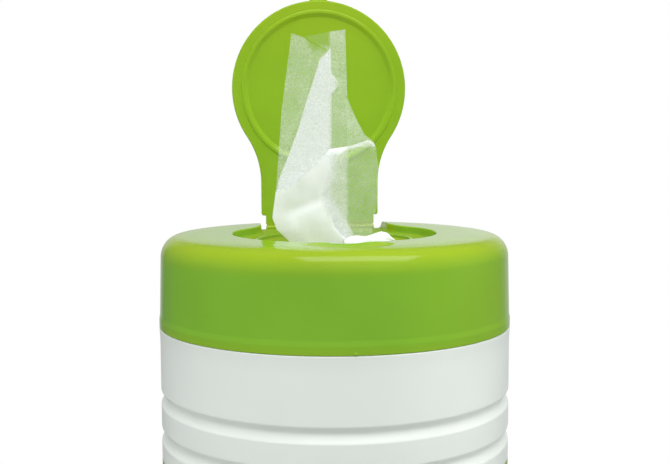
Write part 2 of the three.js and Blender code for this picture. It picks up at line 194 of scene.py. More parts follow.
TAB_ROUND = 1.5 * MM


LENGTH = {"unit": "LENGTH"}
COLOUR = {"subtype": "COLOR", "size": 3, "min": 0, "max": 1}


class CanisterSizes(bpy.types.PropertyGroup):
    """Main sizes of the canister"""

    tub_radius: FloatProperty(
        name="Tub radius", description="Outside radius of the tub", default=TUB_HIGH.x, **LENGTH)
    tub_wall: FloatProperty(
        name="Tub wall", description="Thickness of the blown wall", default=1.2 * MM, **LENGTH)
    heel_radius: FloatProperty(
        name="Heel radius", description="Round of the tub's lower edge", default=4 * MM, **LENGTH)
    groove_width: FloatProperty(
        name="Groove width", description="Height of each groove round the tub",
        default=5.3 * MM, **LENGTH)
    groove_depth: FloatProperty(
        name="Groove depth", description="Depth of each groove round the tub",
        default=1.6 * MM, **LENGTH)
    neck_radius: FloatProperty(
        name="Neck radius", description="Outside radius of the tub's neck", default=51.8 * MM, **LENGTH)
    lid_radius: FloatProperty(
        name="Lid radius", description="Radius of the lid's lower band", default=LID_HIGH.x, **LENGTH)
    band_height: FloatProperty(
        name="Band height", description="Height of the lid's lower band", default=3.3 * MM, **LENGTH)
    shoulder_width: FloatProperty(
        name="Shoulder width", description="Width of the lid's round shoulder",
        default=5.9 * MM, **LENGTH)
    shoulder_height: FloatProperty(
        name="Shoulder height", description="Height of the lid's round shoulder",
        default=6.8 * MM, **LENGTH)
    recess_depth: FloatProperty(
        name="Recess depth", description="Depth of the cap's recess in the deck",
        default=3 * MM, **LENGTH)
    cap_radius: FloatProperty(
        name="Cap radius", description="Radius of the flip cap's disc", default=31.3 * MM, **LENGTH)
    cap_thickness: FloatProperty(
        name="Cap thickness", description="Thickness of the flip cap", default=3 * MM, **LENGTH)
    ring_radius: FloatProperty(
        name="Ring radius", description="Radius of the sealing ring inside the cap",
        default=27.1 * MM, **LENGTH)


class CanisterColours(bpy.types.PropertyGroup):
    """Main colours of the canister"""

    lid_green: FloatVectorProperty(
        name="Lid green", description="Moulded green of the lid and cap",
        **COLOUR, default=(0.190, 0.420, 0.028))
    # Painted glow: a yellower green painted on the upper lid, its recess, foot band and right side, standing in
    # for light falling on and through the plastic
    lid_painted_glow: FloatVectorProperty(
        name="Lid glow", description="Yellower green where light comes through the upper lid",
        **COLOUR, default=(0.290, 0.425, 0.016))
    # Painted light: the lid's green painted brighter and yellower on the deck and the flip cap, standing in for
    # the light they catch
    cap_painted_light_green: FloatVectorProperty(
        name="Cap green", description="Brighter green of the deck and the flip cap",
        **COLOUR, default=(0.258, 0.458, 0.018))
    tub_white: FloatVectorProperty(
        name="Tub white", description="Cool white of the tub",
        **COLOUR, default=(0.74, 0.79, 0.745))
    label_green: FloatVectorProperty(
        name="Label green", description="Ground of the wrap label",
        **COLOUR, default=(0.235, 0.395, 0.085))
    label_pale: FloatVectorProperty(
        name="Label pale", description="Pale band of the wrap label",
        **COLOUR, default=(0.62, 0.72, 0.46))
    cloth_white: FloatVectorProperty(
        name="Cloth white", description="White of the wet wipe",
        **COLOUR, default=(0.88, 0.905, 0.895))


# Lines and outlines
def lerp(low, high, share):
    return low + (high - low) * share


def smooth(value, low, high):
    share = min(max((value - low) / (high - low), 0), 1)
    return share * share * (3 - 2 * share)


def along(table, value):
    """Reads a line through (place, value) pairs, given by rising place."""
    if value <= table[0][0]:
        return table[0][1]
    for (low, start), (high, end) in zip(table, table[1:]):
        if value <= high:
            return lerp(start, end, (value - low) / (high - low))
    return table[-1][1]


def arc(centre, reach, start, end, steps):
    """Points of an elliptic arc, from one angle to another in degrees."""
    points = []
    for i in range(steps + 1):
        angle = math.radians(lerp(start, end, i / steps))
        points.append((centre[0] + reach[0] * math.cos(angle), centre[1] + reach[1] * math.sin(angle), 0))
    return points


def wave(radius, height, width, depth, rising):
    """A rounded groove in an upright wall, or a bead where the depth is negative."""
    points = []
    for i in range(GROOVE_STEPS + 1):
        share = i / GROOVE_STEPS - 0.5
        dip = depth * (0.5 + 0.5 * math.cos(FULL_TURN * share))
        points.append((radius - dip, height + rising * width * share, 0))
    return points


def filleted(corners):
    """A line through (a, b, round) corners, each rounded by its own radius."""
    points = []
    for before, corner, after in zip(corners[-1:] + corners[:-1], corners, corners[1:] + corners[:1]):
        here = Vector(corner[:2])
        radius = corner[2]
        if radius <= 0:
            points.append(here)
            continue
        back = (Vector(before[:2]) - here).normalized()
        ahead = (Vector(after[:2]) - here).normalized()
        half = back.angle(ahead) / 2
        centre = here + (back + ahead).normalized() * radius / math.sin(half)
        start = here + back * radius / math.tan(half) - centre
        end = here + ahead * radius / math.tan(half) - centre
        turn = start.angle(end)
        for i in range(FILLET_STEPS + 1):
            share = i / FILLET_STEPS
            swing = start * math.sin((1 - share) * turn) + end * math.sin(share * turn)
            points.append(centre + swing / math.sin(turn))
    return points


def keyhole(radius, reach, grow, foot, corner=0):
    """The cap's outline, grown all round: a disc that flows into a neck by concave flanks."""
    disc = radius + grow
    half = CAP_NECK_WIDTH / 2 + grow
    flank = CAP_FLANK_RADIUS - grow
    flank_x = half + flank
    rise = math.sqrt((disc + flank) ** 2 - flank_x ** 2)
    meet = math.degrees(math.atan2(rise, flank_x))
    flank_steps = math.ceil(math.radians(meet) / OUTLINE_STEP)
    disc_steps = math.ceil(math.radians(180 + 2 * meet) / OUTLINE_STEP)
    right = arc((flank_x, reach - rise), (flank, flank), 180, 180 - meet, flank_steps)
    disc_line = arc((0, reach), (disc, disc), -meet, 180 + meet, disc_steps)[1:-1]
    left = [(-x, v, 0) for x, v, _ in reversed(right)]
    return filleted([(half, foot, corner), *right, *disc_line, *left, (-half, foot, corner)])


def slot_line(length, width):
    """An upright-sided slot's outline with round ends."""
    round_end = width / 2
    reach = length / 2 - round_end
    right = arc((reach, 0), (round_end, round_end), -90, 90, SLOT_STEPS)
    left = arc((-reach, 0), (round_end, round_end), 90, 270, SLOT_STEPS)
    return filleted([*right, *left])


# Modelling moves
def deselect():
    if bpy.context.mode != "OBJECT":
        bpy.ops.object.mode_set(mode="OBJECT")
    bpy.ops.object.select_all(action="DESELECT")


def pick(piece):
    """Makes a piece the one that is selected and active."""
    deselect()
    piece.select_set(True)
    bpy.context.view_layer.objects.active = piece


def draw_line(name, points):
    """Starts a piece from one vertex and draws a line by extruding it, left in edit mode."""
    deselect()
    bpy.ops.mesh.primitive_plane_add(size=MM, location=(0, 0, 0), enter_editmode=True)
    piece = bpy.context.object
    piece.name = piece.data.name = name
    bpy.ops.mesh.select_all(action="SELECT")
    bpy.ops.mesh.merge(type="CENTER")
    bpy.ops.transform.translate(value=points[0])
    for here, ahead in zip(points, points[1:]):
        bpy.ops.mesh.extrude_vertices_move(TRANSFORM_OT_translate={"value": ahead - here})
    return piece


def close_mesh():
    """Merges doubles, turns faces outwards and leaves edit mode."""
    bpy.ops.mesh.select_all(action="SELECT")
    bpy.ops.mesh.remove_doubles(threshold=MERGE)
    bpy.ops.mesh.normals_make_consistent(inside=False)
    bpy.ops.object.mode_set(mode="OBJECT")


def spun(name, line, closed, centre, axis, steps=TURN_STEPS):
    """Draws a line and spins it about an axis."""
    piece = draw_line(name, line + line[:1] if closed else line)
    bpy.ops.mesh.select_all(action="SELECT")
    bpy.ops.mesh.spin(steps=steps, angle=FULL_TURN, center=centre, axis=axis)
    close_mesh()
    return piece


def turned(name, profile, closed=False):
    """Spins a (radius, height) profile about the canister's axis."""
    line = [Vector((r, 0, z)) for r, z in filleted(profile)]
    return spun(name, line, closed, (0, 0, 0), (0, 0, 1))


def turned_on_cap(name, profile, reach, closed=False):
    """Spins a (radius, depth) profile about the middle of the cap's disc."""
    middle = Vector((0, HINGE.y, HINGE.z + reach))
    line = [middle + Vector((r, depth, 0)) for r, depth in filleted(profile)]
    return spun(name, line, closed, middle, (0, 1, 0))


def ball(segments, rings, reach, place):
    """A sphere stretched to its reach each way and moved to its place."""
    deselect()
    bpy.ops.mesh.primitive_uv_sphere_add(segments=segments, ring_count=rings, radius=1, enter_editmode=True)
    piece = bpy.context.object
    bpy.ops.transform.resize(value=reach)
    bpy.ops.transform.translate(value=place)
    close_mesh()
    return piece


def face_from(name, points):
    """Draws a closed outline and fills it, left in edit mode with the face selected."""
    piece = draw_line(name, points + points[:1])
    bpy.ops.mesh.select_all(action="SELECT")
    bpy.ops.mesh.remove_doubles(threshold=MERGE)
    bpy.ops.mesh.edge_face_add()
    return piece


def extrude_by(move):
    bpy.ops.mesh.extrude_region_move(TRANSFORM_OT_translate={"value": move})


def slab(name, points, move):
    """A closed outline given thickness."""
    piece = face_from(name, points)
    extrude_by(move)
    close_mesh()
    return piece


def select_edges(piece, test):
    """Selects, in edit mode, the edges whose two ends both pass the test."""
    pick(piece)
    bpy.ops.object.mode_set(mode="EDIT")
    bpy.ops.mesh.select_mode(type="EDGE")
    bpy.ops.mesh.select_all(action="DESELECT")
    drawn = bmesh.from_edit_mesh(piece.data)
    found = 0
    for edge in drawn.edges:
        if all(test(end.co) for end in edge.verts):
            edge.select = True
            found += 1
    drawn.select_flush_mode()
    bmesh.update_edit_mesh(piece.data)
    if not found:
        raise RuntimeError(f"{piece.name}: no edge to shape")


def round_edges(piece, test, width, segments):
    select_edges(piece, test)
    bpy.ops.mesh.bevel(offset=width, segments=segments, profile=0.5, affect="EDGES")
    bpy.ops.mesh.select_mode(type="VERT")
    close_mesh()


def combine(piece, other, operation):
    """Joins to a piece, or cuts from it, another one that is used up."""
    pick(piece)
    modifier = piece.modifiers.new(operation.title(), "BOOLEAN")
    modifier.operation = operation
    modifier.solver = "EXACT"
    modifier.object = other
    bpy.ops.object.modifier_apply(modifier=modifier.name)
    bpy.data.meshes.remove(other.data)
    if not piece.data.polygons:
        raise RuntimeError(f"{piece.name}: {operation} left nothing")


def finish_piece(piece, material, body, node):
    """Shades a piece smooth, gives it its finish and hands it to the frame."""
    pick(piece)
    bpy.ops.object.shade_smooth_by_angle(angle=SMOOTH_ANGLE)
    weighted = piece.modifiers.new("Weighted normals", "WEIGHTED_NORMAL")
    weighted.keep_sharp = True
    weighted.weight = 60
    bpy.ops.object.modifier_apply(modifier=weighted.name)
    piece.data.materials.clear()
    piece.data.materials.append(material)
    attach(piece, body)
    if node:
        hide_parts(node)
    piece.select_set(False)


# Finishes
SCUFF_STRETCH = (1, 1, 0.06)
SCUFF_SCALE = 700
SCUFF_SPAN = (0.62, 0.78)
FIBRE_STRETCH = ((0.45, 1, 1.5), (1.1, 1, 0.6))
FIBRE_ROUGHNESS = 0.65
FIBRE_SPAN = (-0.3, 0.3)
MOTTLE_TONE = (0.35, 0.65)
MOTTLE_GLOSS = (0.3, 0.7)
GREEN_DEPTH = 0.94
WHITE_DEPTH = 0.965
CLOTH_DEPTH = 0.95
WET_SHADE = 0.4
WET_GRAIN = 1.8
WET_CLUMP = 1.4

# Heights and radii between which the greens and their gloss change: the glow spans paint a yellower green where
# light falls or shines through, and the cap span paints a brighter green on the deck and flip cap, both painted
# light
SHOULDER_PAINTED_GLOW = (DECK - 8 * MM, DECK - 2 * MM)
RECESS_PAINTED_GLOW = (DECK - 2.9 * MM, DECK - 2.3 * MM)
RECESS_REACH = (33 * MM, 36 * MM)
FOOT_PAINTED_GLOW = (LID_FOOT, LID_FOOT + 3.5 * MM)
SIDE_PAINTED_GLOW = (8 * MM, 42 * MM)
TIP_PAINTED_GLOW = (DECK + 55 * MM, DECK + 80 * MM)
CAP_PAINTED_LIGHT = (DECK - 0.5 * MM, DECK - 0.05 * MM)
MATT_FLOOR = (DECK - 2.7 * MM, DECK - 2 * MM)
MATT_REACH = (50 * MM, 51 * MM)
LABEL_BAND_HALF = (14 * MM, 22 * MM)


def make_group(name, inputs, outputs):
    """An empty shader group with float or colour sockets."""
    group = bpy.data.node_groups.new(name, "ShaderNodeTree")
    for label, kind, value in inputs:
        socket = group.interface.new_socket(label, in_out="INPUT", socket_type=kind)
        socket.default_value = value
    for label, kind in outputs:
        group.interface.new_socket(label, in_out="OUTPUT", socket_type=kind)
    return group, group.nodes.new("NodeGroupInput"), group.nodes.new("NodeGroupOutput")


def fill(tree, node, inputs):
    """Gives each named input of a node a value or a link."""
    for label, value in inputs.items():
        if isinstance(value, bpy.types.NodeSocket):
            tree.links.new(value, node.inputs[label])
        else:
            node.inputs[label].default_value = value


def add_node(tree, kind, inputs, **settings):
    node = tree.nodes.new("ShaderNode" + kind)
    for label, value in settings.items():
        setattr(node, label, value)
    fill(tree, node, inputs)
    return node


def object_place(tree):
    return add_node(tree, "TexCoord", {}).outputs["Object"]


def grain(tree, place, scale, detail, roughness=0.5):
    """Noise of a given scale, from 0 to 1."""
    inputs = {"Vector": place, "Scale": scale, "Detail": detail, "Roughness": roughness}
    return add_node(tree, "TexNoise", inputs).outputs["Fac"]


def stretched(tree, place, scale):
    return add_node(tree, "Mapping", {"Vector": place, "Scale": scale}).outputs["Vector"]


def moulded_skin_group():
    """Fine orange peel, slow mottling and faint upright scuffs of a moulded plastic skin."""
    if "Moulded skin" in bpy.data.node_groups:
        return bpy.data.node_groups["Moulded skin"]
    group, given, out = make_group(
        "Moulded skin",
        [("Peel scale", "NodeSocketFloat", 900), ("Mottle scale", "NodeSocketFloat", 40)],
        [("Height", "NodeSocketFloat"), ("Mottle", "NodeSocketFloat"), ("Scuff", "NodeSocketFloat")])
    place = object_place(group)
    scuff = grain(group, stretched(group, place, SCUFF_STRETCH), SCUFF_SCALE, 4)
    fill(group, out, {
        "Height": grain(group, place, given.outputs["Peel scale"], 2),
        "Mottle": grain(group, place, given.outputs["Mottle scale"], 3),
        "Scuff": spread(group, scuff, 0, 1, *SCUFF_SPAN),
    })
    return group


def fibre_group():
    """Crossed fibres and slow clumps of a nonwoven cloth, each about zero."""
    if "Nonwoven fibres" in bpy.data.node_groups:
        return bpy.data.node_groups["Nonwoven fibres"]
    group, given, out = make_group(
        "Nonwoven fibres",
        [("Scale", "NodeSocketFloat", 1500), ("Clump scale", "NodeSocketFloat", 260)],
        [("Fibre", "NodeSocketFloat"), ("Clump", "NodeSocketFloat")])
    place = object_place(group)
    crossed = [
        grain(group, stretched(group, place, stretch), given.outputs["Scale"], 3, FIBRE_ROUGHNESS)
        for stretch in FIBRE_STRETCH]
    clump = grain(group, place, given.outputs["Clump scale"], 3)
    both = combine_values(group, "ADD", *crossed)
    fill(group, out, {
        "Fibre": combine_values(group, "SUBTRACT", both, 1),
        "Clump": combine_values(group, "SUBTRACT", clump, 0.5),
    })
    return group


def new_finish(name):
    """An empty node material with its Principled shader."""
    material = bpy.data.materials.new(name)
    material.use_nodes = True
    tree = material.node_tree
    return material, tree, tree.nodes["Principled BSDF"]


def place_group(tree, group, inputs):
    return add_node(tree, "Group", inputs, node_tree=group)


def spread(tree, source, low, high, start=0, end=1):
    """Maps a value onto another span."""
    inputs = {"Value": source, "From Min": start, "From Max": end, "To Min": low, "To Max": high}
    return add_node(tree, "MapRange", inputs).outputs["Result"]


def blend_colours(tree, share, first, second):
    inputs = {"Factor": share}
    for label, value in (("A", first), ("B", second)):
        inputs[label] = value if isinstance(value, bpy.types.NodeSocket) else (*value, 1)
    return add_node(tree, "Mix", inputs, data_type="RGBA").outputs["Result"]


def combine_values(tree, operation, first, second, clamp=False):
    node = add_node(tree, "Math", {0: first, 1: second}, operation=operation, use_clamp=clamp)
    return node.outputs["Value"]


def bumped(tree, height, strength, distance):
    inputs = {"Height": height, "Strength": strength, "Distance": distance}
    return add_node(tree, "Bump", inputs).outputs["Normal"]


def object_axis(tree, axis):
    return add_node(tree, "SeparateXYZ", {"Vector": object_place(tree)}).outputs[axis]


def object_radius(tree):
    """Distance from the canister's axis."""
    flat = add_node(tree, "VectorMath", {0: object_place(tree), 1: (1, 1, 0)}, operation="MULTIPLY")
    return add_node(tree, "VectorMath", {0: flat.outputs["Vector"]}, operation="LENGTH").outputs["Value"]


def worn_gloss(tree, skin, low, high, scuff):
    """Roughness that follows a skin's mottling and its scuffs."""
    gloss = spread(tree, skin.outputs["Mottle"], low, high, *MOTTLE_GLOSS)
    worn = combine_values(tree, "MULTIPLY", skin.outputs["Scuff"], scuff)
    return combine_values(tree, "ADD", gloss, worn)


def scaled(colour, share):
    return tuple(min(value * share, 1) for value in colour)


def green_plastic(colours):
    """Glossy moulded green, with a painted yellow glow round the lid's shoulder, foot, recess and right side and
    at the cap's tip, and a painted brighter green on the deck and flip cap.
    """
    if "lid_green_gloss" in bpy.data.materials:
        return bpy.data.materials["lid_green_gloss"]
    material, tree, shader = new_finish("lid_green_gloss")
    skin = place_group(tree, moulded_skin_group(), {"Peel scale": 620, "Mottle scale": 34})
    height = object_axis(tree, "Z")
    radius = object_radius(tree)
    outside = spread(tree, radius, 0, 1, *RECESS_REACH)
    inside = combine_values(tree, "SUBTRACT", 1, outside)
    # Painted glow on the shoulder: yellower where light from above falls
    upper = combine_values(tree, "MULTIPLY", spread(tree, height, 0, 1, *SHOULDER_PAINTED_GLOW), outside)
    # Painted light in the recess: its floor and collar painted yellower and brighter against their shade
    within = combine_values(tree, "MULTIPLY", spread(tree, height, 1, 0.3, *RECESS_PAINTED_GLOW), inside)
    # Painted glow on the foot band, where light shines through it
    foot = spread(tree, height, 0.45, 0, *FOOT_PAINTED_GLOW)
    # Painted glow on the right side, where the side light falls
    side = spread(tree, object_axis(tree, "X"), 0, 0.3, *SIDE_PAINTED_GLOW)
    lower = combine_values(tree, "MAXIMUM", foot, side)
    # All the painted glow, mixed into the lid's green
    glow = combine_values(tree, "MAXIMUM", combine_values(tree, "ADD", upper, within), lower)
    lid_painted_tone = blend_colours(tree, glow, tuple(colours.lid_green), tuple(colours.lid_painted_glow))
    # Painted glow at the cap's tip, where light from above falls
    tip = spread(tree, height, 0, 0.65, *TIP_PAINTED_GLOW)
    cap_painted_tone = blend_colours(tree, tip, tuple(colours.cap_painted_light_green), scaled(colours.lid_painted_glow, 1.1))
    # Painted light: the deck and flip cap take the brighter painted green
    base = blend_colours(tree, spread(tree, height, 0, 1, *CAP_PAINTED_LIGHT), lid_painted_tone, cap_painted_tone)
    deeper = add_node(tree, "HueSaturation", {"Color": base, "Value": GREEN_DEPTH}).outputs["Color"]
    tone = spread(tree, skin.outputs["Mottle"], 0, 1, *MOTTLE_TONE)
    floor = combine_values(
        tree, "MULTIPLY", spread(tree, height, 0.4, 0, *MATT_FLOOR), spread(tree, radius, 1, 0, *MATT_REACH))
    fill(tree, shader, {
        "Base Color": blend_colours(tree, tone, deeper, base),
        "Roughness": combine_values(tree, "ADD", worn_gloss(tree, skin, 0.09, 0.13, 0.10), floor),
        "IOR": 1.49,
        "Normal": bumped(tree, skin.outputs["Height"], 0.05, 0.05 * MM),
    })
    return material


def white_plastic(colours):
    """Satin blown white with faint flow mottling."""
    material, tree, shader = new_finish("tub_white_satin")
    skin = place_group(tree, moulded_skin_group(), {"Peel scale": 480, "Mottle scale": 26})
    tone = spread(tree, skin.outputs["Mottle"], 0, 1, *MOTTLE_TONE)
    white = tuple(colours.tub_white)
    fill(tree, shader, {
        "Base Color": blend_colours(tree, tone, scaled(white, WHITE_DEPTH), white),
        "Roughness": worn_gloss(tree, skin, 0.30, 0.38, 0.12),
        "IOR": 1.5,
        "Subsurface Weight": 0.12,
        "Subsurface Radius": (1, 1, 1),
        "Subsurface Scale": 1.5 * MM,
        "Normal": bumped(tree, skin.outputs["Height"], 0.06, 0.08 * MM),
    })
    return material


def label_film(colours):
    """Plain wrap film: a green ground with one soft pale band."""
    material, tree, shader = new_finish("label_wrap_film")
    skin = place_group(tree, moulded_skin_group(), {"Peel scale": 300, "Mottle scale": 18})
    height = object_axis(tree, "Z")
    middle = (LABEL_LOW.z + LABEL_HIGH.z) / 2
    near, far = LABEL_BAND_HALF
    rise = spread(tree, height, 0, 1, middle - far, middle - near)
    fall = spread(tree, height, 1, 0, middle + near, middle + far)
    band = combine_values(tree, "MULTIPLY", rise, fall)
    ground = blend_colours(tree, band, tuple(colours.label_green), tuple(colours.label_pale))
    tone = spread(tree, skin.outputs["Mottle"], 0, 0.10, *MOTTLE_GLOSS)
    fill(tree, shader, {
        "Base Color": blend_colours(tree, tone, ground, scaled(colours.label_green, 0.8)),
        "Roughness": spread(tree, skin.outputs["Mottle"], 0.24, 0.34, *MOTTLE_GLOSS),
        "Normal": bumped(tree, skin.outputs["Height"], 0.05, 0.08 * MM),
    })
    return material


def wet_cloth(colours, name, sheer):
    """Wet nonwoven: white fibres, sheer where one ply shows and closed where plies gather."""
    material, tree, shader = new_finish(name)
    fibres = place_group(tree, fibre_group(), {"Scale": 2000, "Clump scale": 190})
    fibre = fibres.outputs["Fibre"]
    white = tuple(colours.cloth_white)
    tone = spread(tree, fibre, 0, 1, *FIBRE_SPAN)
    fill(tree, shader, {
        "Base Color": blend_colours(tree, tone, scaled(white, CLOTH_DEPTH), white),
        "Roughness": spread(tree, fibre, 0.62, 0.46, *FIBRE_SPAN),
        "Specular IOR Level": 0.25,
        "Diffuse Roughness": 1,
        "Normal": bumped(tree, fibre, 0.15, 0.15 * MM),
    })
    if sheer:
        ply = add_node(tree, "Attribute", {}, attribute_name="ply_density").outputs["Fac"]
        loose = combine_values(tree, "MULTIPLY", combine_values(tree, "SUBTRACT", 1, ply), ply)
        fine = combine_values(tree, "MULTIPLY", fibre, WET_GRAIN)
        slow = combine_values(tree, "MULTIPLY", fibres.outputs["Clump"], WET_CLUMP)
        uneven = combine_values(tree, "MULTIPLY", combine_values(tree, "ADD", fine, slow), loose)
        cover = combine_values(tree, "ADD", ply, uneven, clamp=True)
        path = add_node(tree, "LightPath", {})
        passing = spread(tree, path.outputs["Is Shadow Ray"], 1, WET_SHADE)
        fill(tree, shader, {"Alpha": combine_values(tree, "MULTIPLY", cover, passing)})
    return material


def get_sizes(context):
    return context.scene.canister_sizes


def get_colours(context):
    return context.scene.canister_colours


class CANISTER_OT_tub(bpy.types.Operator):
    """Turns the blown tub with its grooves, neck, rim bead and standing ring"""

    bl_idname = "canister.tub"
    bl_label = "Tub"

    def execute(self, context):
        s = get_sizes(context)
        top = LID_FOOT - LID_SEAT_GAP
        inside = s.tub_radius - s.tub_wall
        panel = s.tub_radius - PANEL_DEPTH
        neck_inside = s.neck_radius - s.tub_wall
        ring_outer = s.tub_radius - s.heel_radius
        ring_inner = ring_outer - BASE_RING_WIDTH
        label_low = LABEL_LOW.z - LABEL_END_GAP
        label_high = LABEL_HIGH.z + LABEL_END_GAP
        bead = RIM - RIM_BEAD_DROP
        drops = (top - SECOND_GROOVE_DROP, top - UPPER_GROOVE_DROP)
        outer = [
            (0, BASE_PUSH_UP, 0),
            (ring_inner - BASE_PUSH_UP, BASE_PUSH_UP, BASE_ROUND),
            (ring_inner, 0, BASE_ROUND),
            *arc((ring_outer, s.heel_radius), (s.heel_radius, s.heel_radius), -90, 0, SHOULDER_STEPS),
            *wave(s.tub_radius, LOWER_GROOVE_HEIGHT, s.groove_width, s.groove_depth, 1),
            (s.tub_radius, label_low, PANEL_ROUND),
            (panel, label_low, PANEL_ROUND),
            (panel, label_high, PANEL_ROUND),
            (s.tub_radius, label_high, PANEL_ROUND),
        ]
        for height in drops:
            outer += wave(s.tub_radius, height, s.groove_width, s.groove_depth, 1)
        flare = []
        for i in range(FILLET_STEPS):
            share = i / FILLET_STEPS
            height = top - TOP_EDGE_RUN * (1 - FLARE_END * share)
            flare.append((s.tub_radius + TOP_EDGE_PROUD * share * share, height, 0))
        neck = [
            *flare,
            (s.tub_radius + TOP_EDGE_PROUD, top, TOP_EDGE_PROUD),
            (s.neck_radius, top, RIM_ROUND),
            *wave(s.neck_radius, bead, RIM_BEAD_HEIGHT, -RIM_BEAD_DEPTH, 1),
            (s.neck_radius, RIM, RIM_ROUND),
            (neck_inside, RIM, RIM_ROUND),
            (neck_inside, top - NECK_STEP / 2, RIM_ROUND),
            (inside, top - NECK_STEP, RIM_ROUND),
        ]
        inner = []
        for height in reversed(drops):
            inner += wave(inside, height, s.groove_width, s.groove_depth, -1)
        inner += wave(inside, LOWER_GROOVE_HEIGHT, s.groove_width, s.groove_depth, -1)
        heel = s.heel_radius - s.tub_wall
        inner += arc((ring_outer, s.heel_radius), (heel, heel), 0, -90, SHOULDER_STEPS)
        inner += [
            (ring_inner, s.tub_wall, BASE_ROUND),
            (ring_inner - BASE_PUSH_UP, BASE_PUSH_UP + s.tub_wall, BASE_ROUND),
            (0, BASE_PUSH_UP + s.tub_wall, 0),
        ]
        tub = turned("blown_tub", outer + neck + inner)
        finish_piece(tub, white_plastic(get_colours(context)), "canister", "tub")
        return {"FINISHED"}


class CANISTER_OT_label(bpy.types.Operator):
    """Turns the thin wrap label that lies in the tub's panel"""

    bl_idname = "canister.label"
    bl_label = "Label"

    def execute(self, context):
        s = get_sizes(context)
        inside = s.tub_radius - PANEL_DEPTH + LABEL_ROUND
        low, high = LABEL_LOW.z, LABEL_HIGH.z
        corners = ((inside, low), (s.tub_radius, low), (s.tub_radius, high), (inside, high))
        profile = [(radius, height, LABEL_ROUND) for radius, height in corners]
        label = turned("wrap_label", profile, closed=True)
        finish_piece(label, label_film(get_colours(context)), "canister", "label")
        return {"FINISHED"}


class CANISTER_OT_roll(bpy.types.Operator):
    """Turns the coreless roll of wipes, with its turns showing on the top"""

    bl_idname = "canister.roll"
    bl_label = "Wipe roll"

    def execute(self, context):
        radius = ROLL_HIGH.x
        low, high = ROLL_LOW.z, ROLL_HIGH.z
        turn = (radius - ROLL_CORE_RADIUS) / ROLL_TURNS
        profile = [
            (ROLL_CORE_RADIUS, low, ROLL_EDGE_ROUND),
            (radius, low, ROLL_EDGE_ROUND),
            (radius, high - ROLL_TURN_DEPTH, 0),
        ]
        for i in range(ROLL_TURNS):
            outer = radius - i * turn
            sag = ROLL_TURN_DEPTH * (0.55 + 0.45 * math.sin(i * 2.4))
            profile += [(outer - part * turn, high - drop * sag, 0) for part, drop in ROLL_TURN_LINE]
        roll = turned("wipe_roll_turns", profile, closed=True)
        finish_piece(
            roll, wet_cloth(get_colours(context), "roll_nonwoven", False), "canister", "wipe_roll")
        return {"FINISHED"}


def lid_outside(s):
    """The lid's outer profile from its foot to the middle of the deck."""
    shoulder = DECK - s.shoulder_height
    band_top = LID_FOOT + s.band_height
    skirt = s.lid_radius - LID_BAND_STEP - LID_DRAFT
    deck_radius = skirt - s.shoulder_width
    turn = math.radians(DOME_TURN)
    reach = (s.shoulder_width, (s.shoulder_height - DOME_DROP) / math.cos(turn))
    edge = deck_radius + s.shoulder_width * math.sin(turn)
    dome = []
    for i in range(1, DOME_STEPS + 1):
        share = 1 - i / DOME_STEPS
        dome.append((lerp(DOME_START, edge, share), DECK - DOME_DROP * share * share, 0))
    return [
        (s.lid_radius, LID_FOOT, LID_FOOT_ROUND),
        (s.lid_radius, band_top - LID_BAND_RUN / 2, LID_BAND_ROUND),
        (skirt + LID_DRAFT, band_top + LID_BAND_RUN / 2, LID_BAND_ROUND),
        *arc((deck_radius, shoulder), reach, 0, 90 - DOME_TURN, SHOULDER_STEPS),
        *dome,
        (0, DECK, 0),
    ]


def lid_shell(s):
    """Skirt, shoulder, deck and sealing plug in one turned profile."""
    shoulder = DECK - s.shoulder_height
    skirt = s.lid_radius - LID_BAND_STEP - LID_DRAFT
    skirt_inside = skirt - LID_WALL
    deck_radius = skirt - s.shoulder_width
    under = DECK - DECK_THICKNESS
    plug_inside = PLUG_OUTSIDE - PLUG_WALL
    plug_low = DECK - PLUG_DEPTH
    reach = (skirt_inside - deck_radius, under - shoulder)
    bead = RIM - RIM_BEAD_DROP - RIM_BEAD_HEIGHT
    plug_root = shoulder + reach[1] * math.sqrt(1 - ((PLUG_OUTSIDE - deck_radius) / reach[0]) ** 2)
    plug_turn = math.degrees(math.acos((PLUG_OUTSIDE - deck_radius) / reach[0]))
    profile = [
        (0, under, 0),
        (deck_radius, under, 0),
        (plug_inside, plug_root, 0),
        (plug_inside, plug_low, PLUG_ROUND),
        (PLUG_OUTSIDE, plug_low, PLUG_ROUND),
        *arc((deck_radius, shoulder), reach, plug_turn, 0, SHOULDER_STEPS),
        *wave(skirt_inside, bead, RIM_BEAD_HEIGHT, LID_BEAD_REACH, -1),
        (skirt_inside, LID_FOOT, LID_FOOT_ROUND),
        *lid_outside(s),
    ]
    return turned("lid_moulding", profile)


def recess_cutter(s, floor):
    """The keyhole recess, flared at its lip and rounded at its floor."""
    reach = HINGE.y
    foot = HINGE.y - s.lid_radius - PAST
    line = keyhole(s.cap_radius, reach, CAP_GAP + RECESS_LIP, foot)
    cutter = face_from("recess_cutter", [Vector((x, HINGE.y - v, DECK + PAST)) for x, v in line])
    extrude_by((0, 0, -PAST))
    for radius, low_first in ((RECESS_LIP, True), (RECESS_FILLET, False)):
        if not low_first:
            extrude_by((0, 0, floor + RECESS_FILLET - (DECK - RECESS_LIP)))
        for i in range(FILLET_STEPS):
            start = math.radians(90 * i / FILLET_STEPS)
            end = math.radians(90 * (i + 1) / FILLET_STEPS)
            if low_first:
                inward = radius * (math.sin(end) - math.sin(start))
                down = radius * (math.cos(start) - math.cos(end))
            else:
                inward = radius * (math.cos(start) - math.cos(end))
                down = radius * (math.sin(end) - math.sin(start))
            bpy.ops.mesh.inset(thickness=inward, depth=down, use_boundary=True, use_even_offset=True)
    close_mesh()
    return cutter


